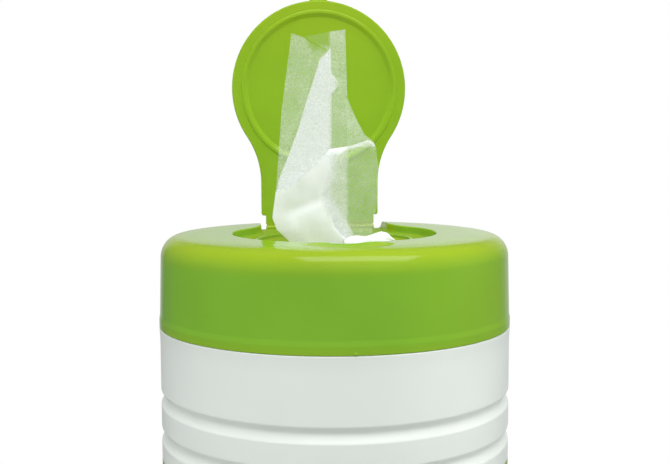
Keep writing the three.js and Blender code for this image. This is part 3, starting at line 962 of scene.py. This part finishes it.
class CANISTER_OT_lid(bpy.types.Operator):
    """Turns the lid's shell, then cuts the recess, collar, well, slots and thumb scoop"""

    bl_idname = "canister.lid"
    bl_label = "Lid"

    def execute(self, context):
        s = get_sizes(context)
        floor = DECK - s.recess_depth
        tray_low = floor - RECESS_FLOOR
        collar_inside = COLLAR_RADIUS - COLLAR_WALL
        collar_top = DECK - COLLAR_TOP_DROP
        well = DECK - WELL_DEPTH
        well_low = well - WELL_FLOOR
        deck_radius = s.lid_radius - LID_BAND_STEP - LID_DRAFT - s.shoulder_width
        lid = lid_shell(s)

        within = [(max(r - TRAY_INSET, 0), z - TRAY_INSET, 0) for r, z in filleted(lid_outside(s))]
        envelope = turned("tray_envelope", [(0, LID_FOOT, 0), *within])
        line = keyhole(s.cap_radius, HINGE.y, CAP_GAP + RECESS_WALL, HINGE.y - s.lid_radius - PAST)
        tray = slab(
            "recess_tray", [Vector((x, HINGE.y - v, tray_low)) for x, v in line],
            (0, 0, DECK - DECK_THICKNESS / 2 - tray_low))
        combine(tray, envelope, "INTERSECT")
        combine(lid, tray, "UNION")
        combine(lid, recess_cutter(s, floor), "DIFFERENCE")

        hole_radius = COLLAR_RADIUS - COLLAR_WALL / 2
        hole = turned(
            "well_hole",
            [(0, well_low - PAST, 0), (hole_radius, well_low - PAST, 0), (hole_radius, DECK + PAST, 0),
             (0, DECK + PAST, 0)])
        combine(lid, hole, "DIFFERENCE")

        insert = turned("collar_and_well", [
            (0, well_low, 0),
            (WELL_FLOOR_RADIUS, well_low, WELL_ROUND),
            (COLLAR_RADIUS, tray_low, WELL_ROUND),
            (COLLAR_RADIUS, collar_top, COLLAR_ROUND),
            (collar_inside, collar_top, COLLAR_ROUND),
            (collar_inside, floor, WELL_ROUND),
            (WELL_FLOOR_RADIUS, well, WELL_ROUND),
            (0, well, 0),
        ])
        for length, width, across in (
            (SLOT_LENGTH, SLOT_WIDTH, False), (CROSS_SLOT_LENGTH, CROSS_SLOT_WIDTH, True)):
            points = slot_line(length, width)
            if across:
                points = [Vector((-y, x)) for x, y in points]
            line = [Vector((x, y, well_low - PAST)) for x, y in points]
            cutter = slab("slot_cutter", line, (0, 0, 2 * PAST + WELL_FLOOR))
            combine(insert, cutter, "DIFFERENCE")
        combine(lid, insert, "UNION")

        lift = SCOOP_ROUND - SCOOP_DEPTH
        share = math.sqrt(1 - (lift / SCOOP_ROUND) ** 2)
        middle = (0, -(deck_radius - SCOOP_EDGE - SCOOP_REACH), DECK + lift)
        half_sizes = (SCOOP_WIDTH / 2 / share, SCOOP_REACH / share, SCOOP_ROUND)
        combine(lid, ball(TURN_STEPS // 2, TURN_STEPS // 3, half_sizes, middle), "DIFFERENCE")

        half = CAP_TONGUE_WIDTH / 2
        bead_line = filleted([
            (-half, 0, 0), (-half, HINGE_BEAD_RADIUS, HINGE_BEAD_ROUND),
            (half, HINGE_BEAD_RADIUS, HINGE_BEAD_ROUND), (half, 0, 0)])
        bead_line = [HINGE + Vector((x, 0, r)) for x, r in bead_line]
        bead = spun("hinge_bead", bead_line, False, HINGE, (1, 0, 0), SMALL_TURN_STEPS)
        combine(lid, bead, "UNION")

        pip_place = (0, -s.lid_radius, LID_FOOT + FRONT_PIP_RISE)
        pip = ball(SMALL_TURN_STEPS, SMALL_TURN_STEPS // 2, (FRONT_PIP_RADIUS,) * 3, pip_place)
        combine(lid, pip, "UNION")
        finish_piece(lid, green_plastic(get_colours(context)), "lid", "lid")
        return {"FINISHED"}


class CANISTER_OT_flip_cap(bpy.types.Operator):
    """Draws the flip cap upright at its hinge, with its sealing ring, tongue and lift tab"""

    bl_idname = "canister.flip_cap"
    bl_label = "Flip cap"

    def execute(self, context):
        s = get_sizes(context)
        reach = HINGE.y

        def on_cap(x, depth, rise):
            return Vector((x, HINGE.y + depth, HINGE.z + rise))

        outline = keyhole(s.cap_radius, reach, 0, CAP_EAR_HEIGHT, CAP_EAR_ROUND)
        thick = s.cap_thickness - CAP_FACE
        cap = slab("flip_cap_moulding", [on_cap(x, CAP_FACE, v) for x, v in outline], (0, thick, 0))
        inner, outer = HINGE.y + CAP_FACE, HINGE.y + s.cap_thickness
        round_edges(cap, lambda co: abs(co.y - inner) < NEAR, CAP_INNER_ROUND, 3)
        round_edges(cap, lambda co: abs(co.y - outer) < NEAR, CAP_OUTER_ROUND, 4)

        ring_in = s.ring_radius - CAP_RING_WIDTH / 2
        ring_out = s.ring_radius + CAP_RING_WIDTH / 2
        bead = turned_on_cap("cap_ring", [
            (ring_in - CAP_RING_INNER_REACH, CAP_FACE + CAP_RING_ROOT, 0),
            (ring_in - CAP_RING_INNER_REACH, 0, 0),
            (ring_out, 0, CAP_FACE * 0.99),
            (ring_out + CAP_RING_OUTER_REACH, CAP_FACE + CAP_RING_OUTER_RISE, 0),
            (ring_out, CAP_FACE + CAP_RING_ROOT, 0),
        ], reach, closed=True)
        combine(cap, bead, "UNION")
        hollow = turned_on_cap("cap_hollow", [
            (0, -PAST, 0),
            (ring_in + CAP_FACE, -PAST, 0),
            (ring_in + CAP_FACE, 0, 0),
            (ring_in - CAP_RING_SLOPE, CAP_PANEL_INSIDE, CAP_PANEL_FILLET),
            (0, CAP_PANEL_INSIDE, 0),
        ], reach)
        combine(cap, hollow, "DIFFERENCE")

        half = CAP_TONGUE_WIDTH / 2
        edge = CAP_TONGUE_ROUND
        root = CAP_EAR_HEIGHT + s.cap_thickness
        tongue_line = filleted([
            (-half, CAP_TONGUE_FOOT, edge), (half, CAP_TONGUE_FOOT, edge), (half, root, 0), (-half, root, 0)])
        tongue = slab(
            "cap_tongue", [on_cap(x, CAP_FACE + CAP_TONGUE_SET_BACK, v) for x, v in tongue_line],
            (0, CAP_TONGUE_THICKNESS, 0))
        combine(cap, tongue, "UNION")
        sleeve_line = [
            *arc((0, 0), (SLEEVE_INSIDE, SLEEVE_INSIDE), *SLEEVE_TURN, FILLET_STEPS),
            *reversed(arc((0, 0), (SLEEVE_OUTSIDE, SLEEVE_OUTSIDE), *SLEEVE_TURN, FILLET_STEPS))]
        sleeve = slab(
            "hinge_sleeve", [on_cap(edge - half, depth, v) for depth, v, _ in sleeve_line],
            (CAP_TONGUE_WIDTH - 2 * edge, 0, 0))
        combine(cap, sleeve, "UNION")

        tip = reach + s.cap_radius
        tab_inner = DECK + TAB_DECK_GAP - HINGE.z
        tab_half = TAB_WIDTH / 2
        tab_line = filleted([
            (-tab_half, tip - tab_half, 0), (tab_half, tip - tab_half, 0),
            (tab_half, tip + TAB_REACH, TAB_ROUND), (-tab_half, tip + TAB_REACH, TAB_ROUND)])
        tab = slab("lift_tab", [on_cap(x, tab_inner, v) for x, v in tab_line], (0, TAB_THICKNESS, 0))
        combine(cap, tab, "UNION")
        finish_piece(cap, green_plastic(get_colours(context)), "flip_cap", "flip_cap")
        return {"FINISHED"}


# Lines of the drawn wipe: (height above the deck, sideways place) in millimetres
LEFT_EDGE = ((-7, -13), (-2.6, -14.3), (1.2, -18.2), (5, -19.6), (15, -18.2), (38, -16.4), (62, -13.2))
FRONT_FOLD = ((-7, 8), (0, 6), (12, -0.9), (43, -0.6), (46.3, 1.6), (47.3, 1.4), (49.7, -0.6), (58.4, -1.0))
BACK_FOLD = (
    (-7, -13), (10, -18.4), (16.7, -17.4), (23.4, -14.6), (32.8, -11.1), (42, -8.3), (48.2, -6.1),
    (54.3, -4.2), (57, -1.3))
BACK_LEFT = (*BACK_FOLD, (59, -5.6), (61, -9.5))
BACK_RIGHT = ((-7, 6), (0, 4.2), (42, 4.4), (50, 4.15), (63.4, 3.8))
FLARE_EDGE = ((26, 12.9), (28.2, 12.5), (30.6, 9.5), (34.9, 7.3), (41.7, 4.5))
FLAP_LEFT = ((-7, -12), (6, -16), (13.5, -14.6), (26, -1.5))
FLAP_RIGHT = ((-7, 12), (0.6, 11.9), (9.4, 13.45), (19.7, 13.7), (25.6, 13.1), (28.2, 12.5))
MASS_RIGHT = (
    (-7, 10), (-2.6, 4.6), (-1, 2.4), (2.2, -0.4), (5, -0.9), (8.5, -1.2), (12.2, -2), (16.3, 0),
    (22, 1), (26, 1))

# Upper edges of its panels: (share across, height above the deck)
FRONT_TOP = ((0, 61.8), (0.3, 60.7), (0.5, 59.0), (0.75, 58.2), (1, 57.6))
BACK_TOP = ((0, 61), (0.6, 62.6), (1, 63.4))
FLAP_RIDGE = ((0, 26.2), (0.5, 27.2), (0.87, 28.9), (1, 28.0))
MASS_TOP = ((0, 13.6), (0.2, 14.6), (0.35, 17), (0.8, 25), (1, 26.6))
CRUMPLE_CREST = (
    (0, -1.9), (0.1, -1.3), (0.24, -0.9), (0.42, -1.2), (0.56, -0.5), (0.74, 0.4), (0.88, -0.4), (1, -2.3))
CRUMPLE_BULK = ((0, 0.5), (0.2, 1), (0.5, 0.75), (0.75, 1.1), (1, 0.2))
GUSSET_SPAN = (26.8, 41.7)
CRUMPLE_SPAN = (2.6, 18.6)
PANEL_FOOT = -7
TAIL_FOOT = -75
TAIL_TWIST = 70
TAIL_GATHER = (-60, -12)
PLEATS = 7
PLEAT_COLUMNS = 8

# Share of each panel that its fibres close
FRONT_PLY = 0.34
MIDDLE_PLY = (0.86, 0.76)
BACK_PLY = (0.34, 0.38)
GUSSET_PLY = 0.36
FLAP_PLY = (0.50, 0.25)
HEM_PLY = 0.85
MASS_PLY = (1, 0.8)
CRUMPLE_PLY = 0.98
TAIL_PLY = 0.92
EDGE_PLY = {"front": 0.06, "middle": 0.3, "back": 0.07, "mass": 0.12}


class Cloth:
    """Gathers the panels of one folded sheet, in millimetres above the deck."""

    def __init__(self):
        self.points = []
        self.faces = []
        self.density = []

    def panel(self, columns, rows, place):
        """Adds a grid whose point at (across, up), each from 0 to 1, is (x, y, height, density)."""
        first = len(self.points)
        for row in range(rows + 1):
            for column in range(columns + 1):
                x, y, height, density = place(column / columns, row / rows)
                self.points.append((x * MM, y * MM, DECK + height * MM))
                self.density.append(density)
        for row in range(rows):
            for column in range(columns):
                a = first + row * (columns + 1) + column
                b = a + columns + 1
                self.faces.append((a, a + 1, b + 1, b))

    def make(self, name):
        mesh = bpy.data.meshes.new(name)
        mesh.from_pydata(self.points, [], self.faces)
        attribute = mesh.attributes.new("ply_density", "FLOAT", "POINT")
        attribute.data.foreach_set("value", self.density)
        piece = bpy.data.objects.new(name, mesh)
        bpy.context.scene.collection.objects.link(piece)
        return piece


def ripple(x, height, seed, scale=0.11):
    """A slow seeded unevenness of limp wet cloth, about -1 to 1."""
    return noise.noise(Vector((x * scale, height * scale * 0.55, seed)))


def settle(y, height):
    """Draws the plies together where they pass the slot."""
    return lerp(y * 0.55, y, smooth(height, -5, 6))


class CANISTER_OT_wipe(bpy.types.Operator):
    """Folds the drawn wipe: sheer panels above, a gathered mass in front and a pleated tail below"""

    bl_idname = "canister.wipe"
    bl_label = "Drawn wipe"

    def execute(self, context):
        cloth = Cloth()
        low = PANEL_FOOT

        def front(across, up):
            top = along(FRONT_TOP, across)
            height = lerp(low, top, up)
            x = lerp(along(LEFT_EDGE, height), along(FRONT_FOLD, height), across)
            y = -0.7 + 0.45 * ripple(x, height, 1.7) - 0.5 * smooth(height, 50, 62) * (1 - across)
            faded = smooth(height, top - 2.5, top) * smooth(across, 0.3, 0.6)
            faded = max(faded, smooth(across, 0.9, 1), smooth(x, -0.5, 1.2) * smooth(height, 38, 43))
            return x, settle(y, height), height, lerp(FRONT_PLY, EDGE_PLY["front"], faded)

        def middle(across, up):
            height = lerp(low, lerp(57.6, 57, across), up)
            x = lerp(along(FRONT_FOLD, height), along(BACK_FOLD, height), across)
            density = lerp(*MIDDLE_PLY, smooth(height, 30, 52))
            faded = max(smooth(across, 0.12, 0), smooth(x, -0.5, 1.2) * smooth(height, 38, 43))
            y = 0.2 + 0.3 * ripple(x, height, 5.1)
            return x, settle(y, height), height, lerp(density, EDGE_PLY["middle"], faded)

        def back(across, up):
            top = along(BACK_TOP, across)
            height = lerp(low, top, up)
            x = lerp(along(BACK_LEFT, height), along(BACK_RIGHT, height), across)
            thin = smooth(height, 57, 59) * (1 - smooth(x, -1.6, -0.6))
            y = 1.1 + 0.45 * ripple(x, height, 9.3) + 0.6 * smooth(height, 50, 63)
            density = lerp(*BACK_PLY, smooth(height, 20, 40))
            return x, settle(y, height), height, lerp(density, EDGE_PLY["back"], thin)

        def gusset(across, up):
            height = lerp(*GUSSET_SPAN, up)
            x = lerp(along(BACK_RIGHT, height) - 0.3, along(FLARE_EDGE, height), across)
            lean = smooth(height, 41.7, 27)
            return x, lerp(1.0, -1.7, lean) + 0.2 * ripple(x, height, 3.3), height, GUSSET_PLY

        def flap(across, up):
            ridge = along(FLAP_RIDGE, across)
            height = lerp(low, ridge, up)
            x = lerp(along(FLAP_LEFT, height), along(FLAP_RIGHT, height), across)
            roll = smooth(height, ridge - 2.2, ridge)
            y = -1.9 - 0.9 * smooth(height, 2, 18) * (1 - roll) + 1.6 * roll * roll
            reach = lerp(5, 1.1, smooth(x, -2, 5))
            hem = smooth(height, ridge - reach, ridge - 0.2 * reach)
            density = lerp(lerp(*FLAP_PLY, smooth(x, 2, 5)), HEM_PLY, hem)
            return x, settle(y + 0.4 * ripple(x, height, 12.2), height), height, density

        def lobe(place, centre, reach):
            share = min(abs(place - centre) / reach, 1)
            return (1 - share * share) ** 2

        def mass(across, up):
            top = along(MASS_TOP, across)
            height = lerp(low, top, up)
            x = lerp(along(LEFT_EDGE, height) - 0.1, along(MASS_RIGHT, height), across)
            crown = math.sin(math.pi * min(max(across, 0), 1)) ** 0.6
            rise = height - 11 - 0.36 * (x + 3)
            y = -3.3 - 1.7 * crown * lobe(rise, -10, 13) - 0.8 * crown * lobe(rise, 8, 9)
            y += 0.5 * crown * lobe(rise, 0, 2.6) * smooth(across, 0.1, 0.5)
            y += (0.45 * ripple(x, height, 21.4, 0.3) + 0.5 * ripple(x, height, 25.9, 0.15)) * crown
            reach = lerp(1.3, 1.2, smooth(across, 0.35, 0.85))
            side = lerp(0.97, 0.8, smooth(height, 2, 9))
            soft = smooth(top - height, -0.6, reach) * smooth(across, 1.02, side)
            thin = smooth(height, 5, -3) * smooth(across, 0.45, 0.1)
            return x, settle(y, height), height, lerp(EDGE_PLY["mass"], lerp(*MASS_PLY, thin), soft)

        def crumple(across, up):
            x = lerp(*CRUMPLE_SPAN, across)
            crest = along(CRUMPLE_CREST, across)
            angle = math.pi * up
            bulk = along(CRUMPLE_BULK, across)
            y = -3.8 - 3.2 * bulk * math.cos(angle) + 0.7 * ripple(x, 40 * up, 30.7, 0.3)
            height = lerp(-3.4, crest, math.sin(angle) ** 0.8) + 0.3 * ripple(x, 30 * up, 33.1, 0.35)
            return x, y, height, CRUMPLE_PLY

        def tail(across, up):
            height = lerp(TAIL_FOOT, low + 1, up)
            half = lerp(10, 13, up)
            run = across * PLEATS
            share = run - math.floor(run)
            if int(run) % 2:
                share = 1 - share
            x = lerp(-half, half, share) * (1 - 0.12 * math.sin(3.1 * math.floor(run)))
            gather = smooth(height, *TAIL_GATHER)
            y = lerp(-1.7, 1.7, across) * lerp(2.2, 1, gather) + 0.2 * ripple(x, height, 44)
            twist = math.radians(lerp(TAIL_TWIST, 0, gather))
            cos, sin = math.cos(twist), math.sin(twist)
            return x * cos - y * sin, x * sin + y * cos, height, TAIL_PLY

        for columns, rows, place in (
                (26, 90, front), (16, 90, middle), (26, 90, back), (14, 30, gusset), (34, 54, flap),
                (48, 60, mass), (36, 16, crumple), (PLEATS * PLEAT_COLUMNS, 40, tail)):
            cloth.panel(columns, rows, place)
        wipe = cloth.make("drawn_wipe")
        pick(wipe)
        bpy.ops.object.shade_smooth()
        wipe.data.materials.append(wet_cloth(get_colours(context), "wet_nonwoven", True))
        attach(wipe, "lid")
        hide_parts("wipe")
        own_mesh(wipe)
        wipe.select_set(False)
        return {"FINISHED"}


# Stage and camera
CAMERA_TURN = -5.9
CAMERA_PAN = -0.035
CAMERA_DISTANCE = 328.5 * MM
CAMERA_RISE = 29.6 * MM
CAMERA_TILT = 5.14
CAMERA_ROLL = -0.2
CAMERA_LENS = 56.1
FLOOR_SIZE = 12
SHADE_NEAR = 0.10
SHADE_FAR = 0.40
FLOOR_PALE = (0.9, 0.9, 0.9)
FLOOR_BOUNCE = (0.38, 0.38, 0.38)
GLOSS_DARK = 0.14
GLOSS_WHITE = 0.85
BACK_WALL = (-0.1, 0.6)
CEILING = (0.16, 0.45)
LEFT_SIDE = (-0.48, -0.34)
RIGHT_SIDE = (0.25, 0.8)
LEAN = (0.3, 1.06)
LEAN_REACH = 0.6
FILL_LIGHT = 0.40
SENSOR_WIDTH = 36
CLIP_START = 0.01

# Soft lamps: name, place, aim, size, power, and whether they show in gloss
LAMPS = (
    ("overhead_strip", (0.16, -0.26, 0.95), (0.16, -0.05, 0.2), (0.8, 0.4), 2.3, True),
    ("overhead_box", (0.0, 0.2, 1.0), (0, 0, 0.2), (0.9, 0.9), 2.6, False),
    ("front_box", (0.04, -0.80, 0.82), (0, 0, 0.18), (1.2, 0.6), 7.3, False),
    ("left_box", (-1.0, -0.10, 0.35), (0, 0, 0.15), (0.5, 0.7), 3.3, False),
    ("right_box", (1.0, -0.06, 0.35), (0, 0, 0.15), (0.5, 0.7), 3.8, False),
)


def studio_level_group():
    """How bright the studio shows in gloss: a white back wall, darker front, sides and ceiling."""
    group, given, out = make_group(
        "Studio level", [("Direction", "NodeSocketVector", (0, 0, 0))], [("Level", "NodeSocketFloat")])
    unit = add_node(group, "VectorMath", {0: given.outputs["Direction"]}, operation="NORMALIZE")
    parts = add_node(group, "SeparateXYZ", {"Vector": unit.outputs["Vector"]})
    back = spread(group, parts.outputs["Y"], 0, 1, *BACK_WALL)
    low = spread(group, parts.outputs["Z"], 1, 0, *CEILING)
    left = spread(group, parts.outputs["X"], 0, 1, *LEFT_SIDE)
    right = spread(group, parts.outputs["X"], 1, 0, *RIGHT_SIDE)
    ahead = combine_values(group, "MULTIPLY", left, right)
    lean = spread(group, parts.outputs["X"], *LEAN, -LEAN_REACH, LEAN_REACH)
    wall = combine_values(group, "MULTIPLY", combine_values(group, "MULTIPLY", back, low), ahead)
    wall = combine_values(group, "MULTIPLY", wall, lean)
    fill(group, out, {"Level": spread(group, wall, GLOSS_DARK, GLOSS_WHITE)})
    return group


def stage_floor(level):
    """A pale floor that keeps the shadow near the canister and fades to the white backdrop."""
    deselect()
    bpy.ops.mesh.primitive_grid_add(x_subdivisions=8, y_subdivisions=8, size=FLOOR_SIZE)
    floor = bpy.context.object
    floor.name = "stage_floor"
    material, tree, shader = new_finish("stage_floor")
    place = object_place(tree)
    reach = add_node(tree, "VectorMath", {0: place}, operation="LENGTH").outputs["Value"]
    far = spread(tree, reach, 0, 1, SHADE_NEAR, SHADE_FAR)
    path = add_node(tree, "LightPath", {})
    camera_ray = path.outputs["Is Camera Ray"]
    fill(tree, shader, {
        "Base Color": blend_colours(tree, camera_ray, FLOOR_BOUNCE, FLOOR_PALE),
        "Roughness": 0.9,
        "Specular IOR Level": 0.1,
    })
    seen = combine_values(tree, "MAXIMUM", camera_ray, path.outputs["Is Glossy Ray"])
    studio = place_group(tree, level, {"Direction": place}).outputs["Level"]
    white = add_node(tree, "Emission", {"Strength": combine_values(tree, "MAXIMUM", camera_ray, studio)})
    mixed = add_node(tree, "MixShader", {
        0: combine_values(tree, "MULTIPLY", far, seen), 1: shader.outputs["BSDF"], 2: white.outputs["Emission"]})
    output = next(n for n in tree.nodes if n.type == "OUTPUT_MATERIAL")
    fill(tree, output, {"Surface": mixed.outputs["Shader"]})
    floor.data.materials.append(material)
    floor.select_set(False)


def stage_world(level):
    """White to the camera, the studio's walls in gloss, and softer as fill light."""
    world = bpy.data.worlds.new("studio")
    bpy.context.scene.world = world
    world.use_nodes = True
    tree = world.node_tree
    path = add_node(tree, "LightPath", {})
    place = add_node(tree, "TexCoord", {}).outputs["Generated"]
    studio = place_group(tree, level, {"Direction": place}).outputs["Level"]
    clear = combine_values(tree, "MAXIMUM", path.outputs["Is Camera Ray"], path.outputs["Is Transmission Ray"])
    seen = combine_values(tree, "MAXIMUM", clear, path.outputs["Is Glossy Ray"])
    shine = combine_values(tree, "MULTIPLY", combine_values(tree, "MAXIMUM", clear, studio), seen)
    rest = spread(tree, seen, FILL_LIGHT, 0)
    fill(tree, tree.nodes["Background"], {
        "Color": (1, 1, 1, 1), "Strength": combine_values(tree, "ADD", shine, rest)})


def soft_box(name, place, aim, size, power, in_gloss):
    """A soft lamp turned towards a point, which shows in gloss or only lights."""
    deselect()
    bpy.ops.object.light_add(type="AREA", location=place)
    lamp = bpy.context.object
    lamp.name = name
    lamp.data.shape = "RECTANGLE"
    lamp.data.size, lamp.data.size_y = size
    lamp.data.energy = power
    lamp.visible_glossy = in_gloss
    lamp.rotation_euler = (Vector(aim) - Vector(place)).to_track_quat("-Z", "Y").to_euler()
    lamp.select_set(False)


class CANISTER_OT_stage(bpy.types.Operator):
    """Sets the camera, the pale floor and the soft studio light"""

    bl_idname = "canister.stage"
    bl_label = "Stage"

    def execute(self, context):
        level = studio_level_group()
        stage_floor(level)
        stage_world(level)
        for lamp in LAMPS:
            soft_box(*lamp)
        turn = math.radians(CAMERA_TURN)
        bpy.ops.object.camera_add()
        camera = context.object
        camera.name = "camera"
        camera.data.lens = CAMERA_LENS
        camera.data.sensor_width = SENSOR_WIDTH
        camera.data.clip_start = CLIP_START
        place = Vector((
            math.sin(turn) * CAMERA_DISTANCE, -math.cos(turn) * CAMERA_DISTANCE, DECK + CAMERA_RISE))
        aim = Matrix.Rotation(turn + math.radians(CAMERA_PAN), 4, "Z")
        aim = aim @ Matrix.Rotation(math.radians(90 - CAMERA_TILT), 4, "X")
        aim = aim @ Matrix.Rotation(math.radians(CAMERA_ROLL), 4, "Z")
        camera.matrix_world = Matrix.Translation(place) @ aim
        context.scene.camera = camera
        context.scene.view_settings.view_transform = "Standard"
        return {"FINISHED"}


PIECE_OPERATORS = (
    CANISTER_OT_tub,
    CANISTER_OT_label,
    CANISTER_OT_roll,
    CANISTER_OT_lid,
    CANISTER_OT_flip_cap,
    CANISTER_OT_wipe,
    CANISTER_OT_stage,
)


class CANISTER_PT_build(bpy.types.Panel):
    """Lists the canister's pieces in building order"""

    bl_idname = "CANISTER_PT_build"
    bl_label = "Wipes canister"
    bl_space_type = "VIEW_3D"
    bl_region_type = "UI"
    bl_category = "Canister"

    def draw(self, context):
        for operator in PIECE_OPERATORS:
            self.layout.operator(operator.bl_idname)
        for group in (get_sizes(context), get_colours(context)):
            column = self.layout.column()
            for key in group.__annotations__:
                column.prop(group, key)


CLASSES = (CanisterSizes, CanisterColours, *PIECE_OPERATORS, CANISTER_PT_build)


def register():
    for item in CLASSES:
        bpy.utils.register_class(item)
    bpy.types.Scene.canister_sizes = PointerProperty(type=CanisterSizes)
    bpy.types.Scene.canister_colours = PointerProperty(type=CanisterColours)


def unregister():
    del bpy.types.Scene.canister_colours
    del bpy.types.Scene.canister_sizes
    for item in reversed(CLASSES):
        bpy.utils.unregister_class(item)


def main():
    register()
    bpy.ops.canister.tub()
    bpy.ops.canister.label()
    bpy.ops.canister.roll()
    bpy.ops.canister.lid()
    bpy.ops.canister.flip_cap()
    bpy.ops.canister.wipe()
    bpy.ops.canister.stage()


if __name__ == "__main__":
    main()
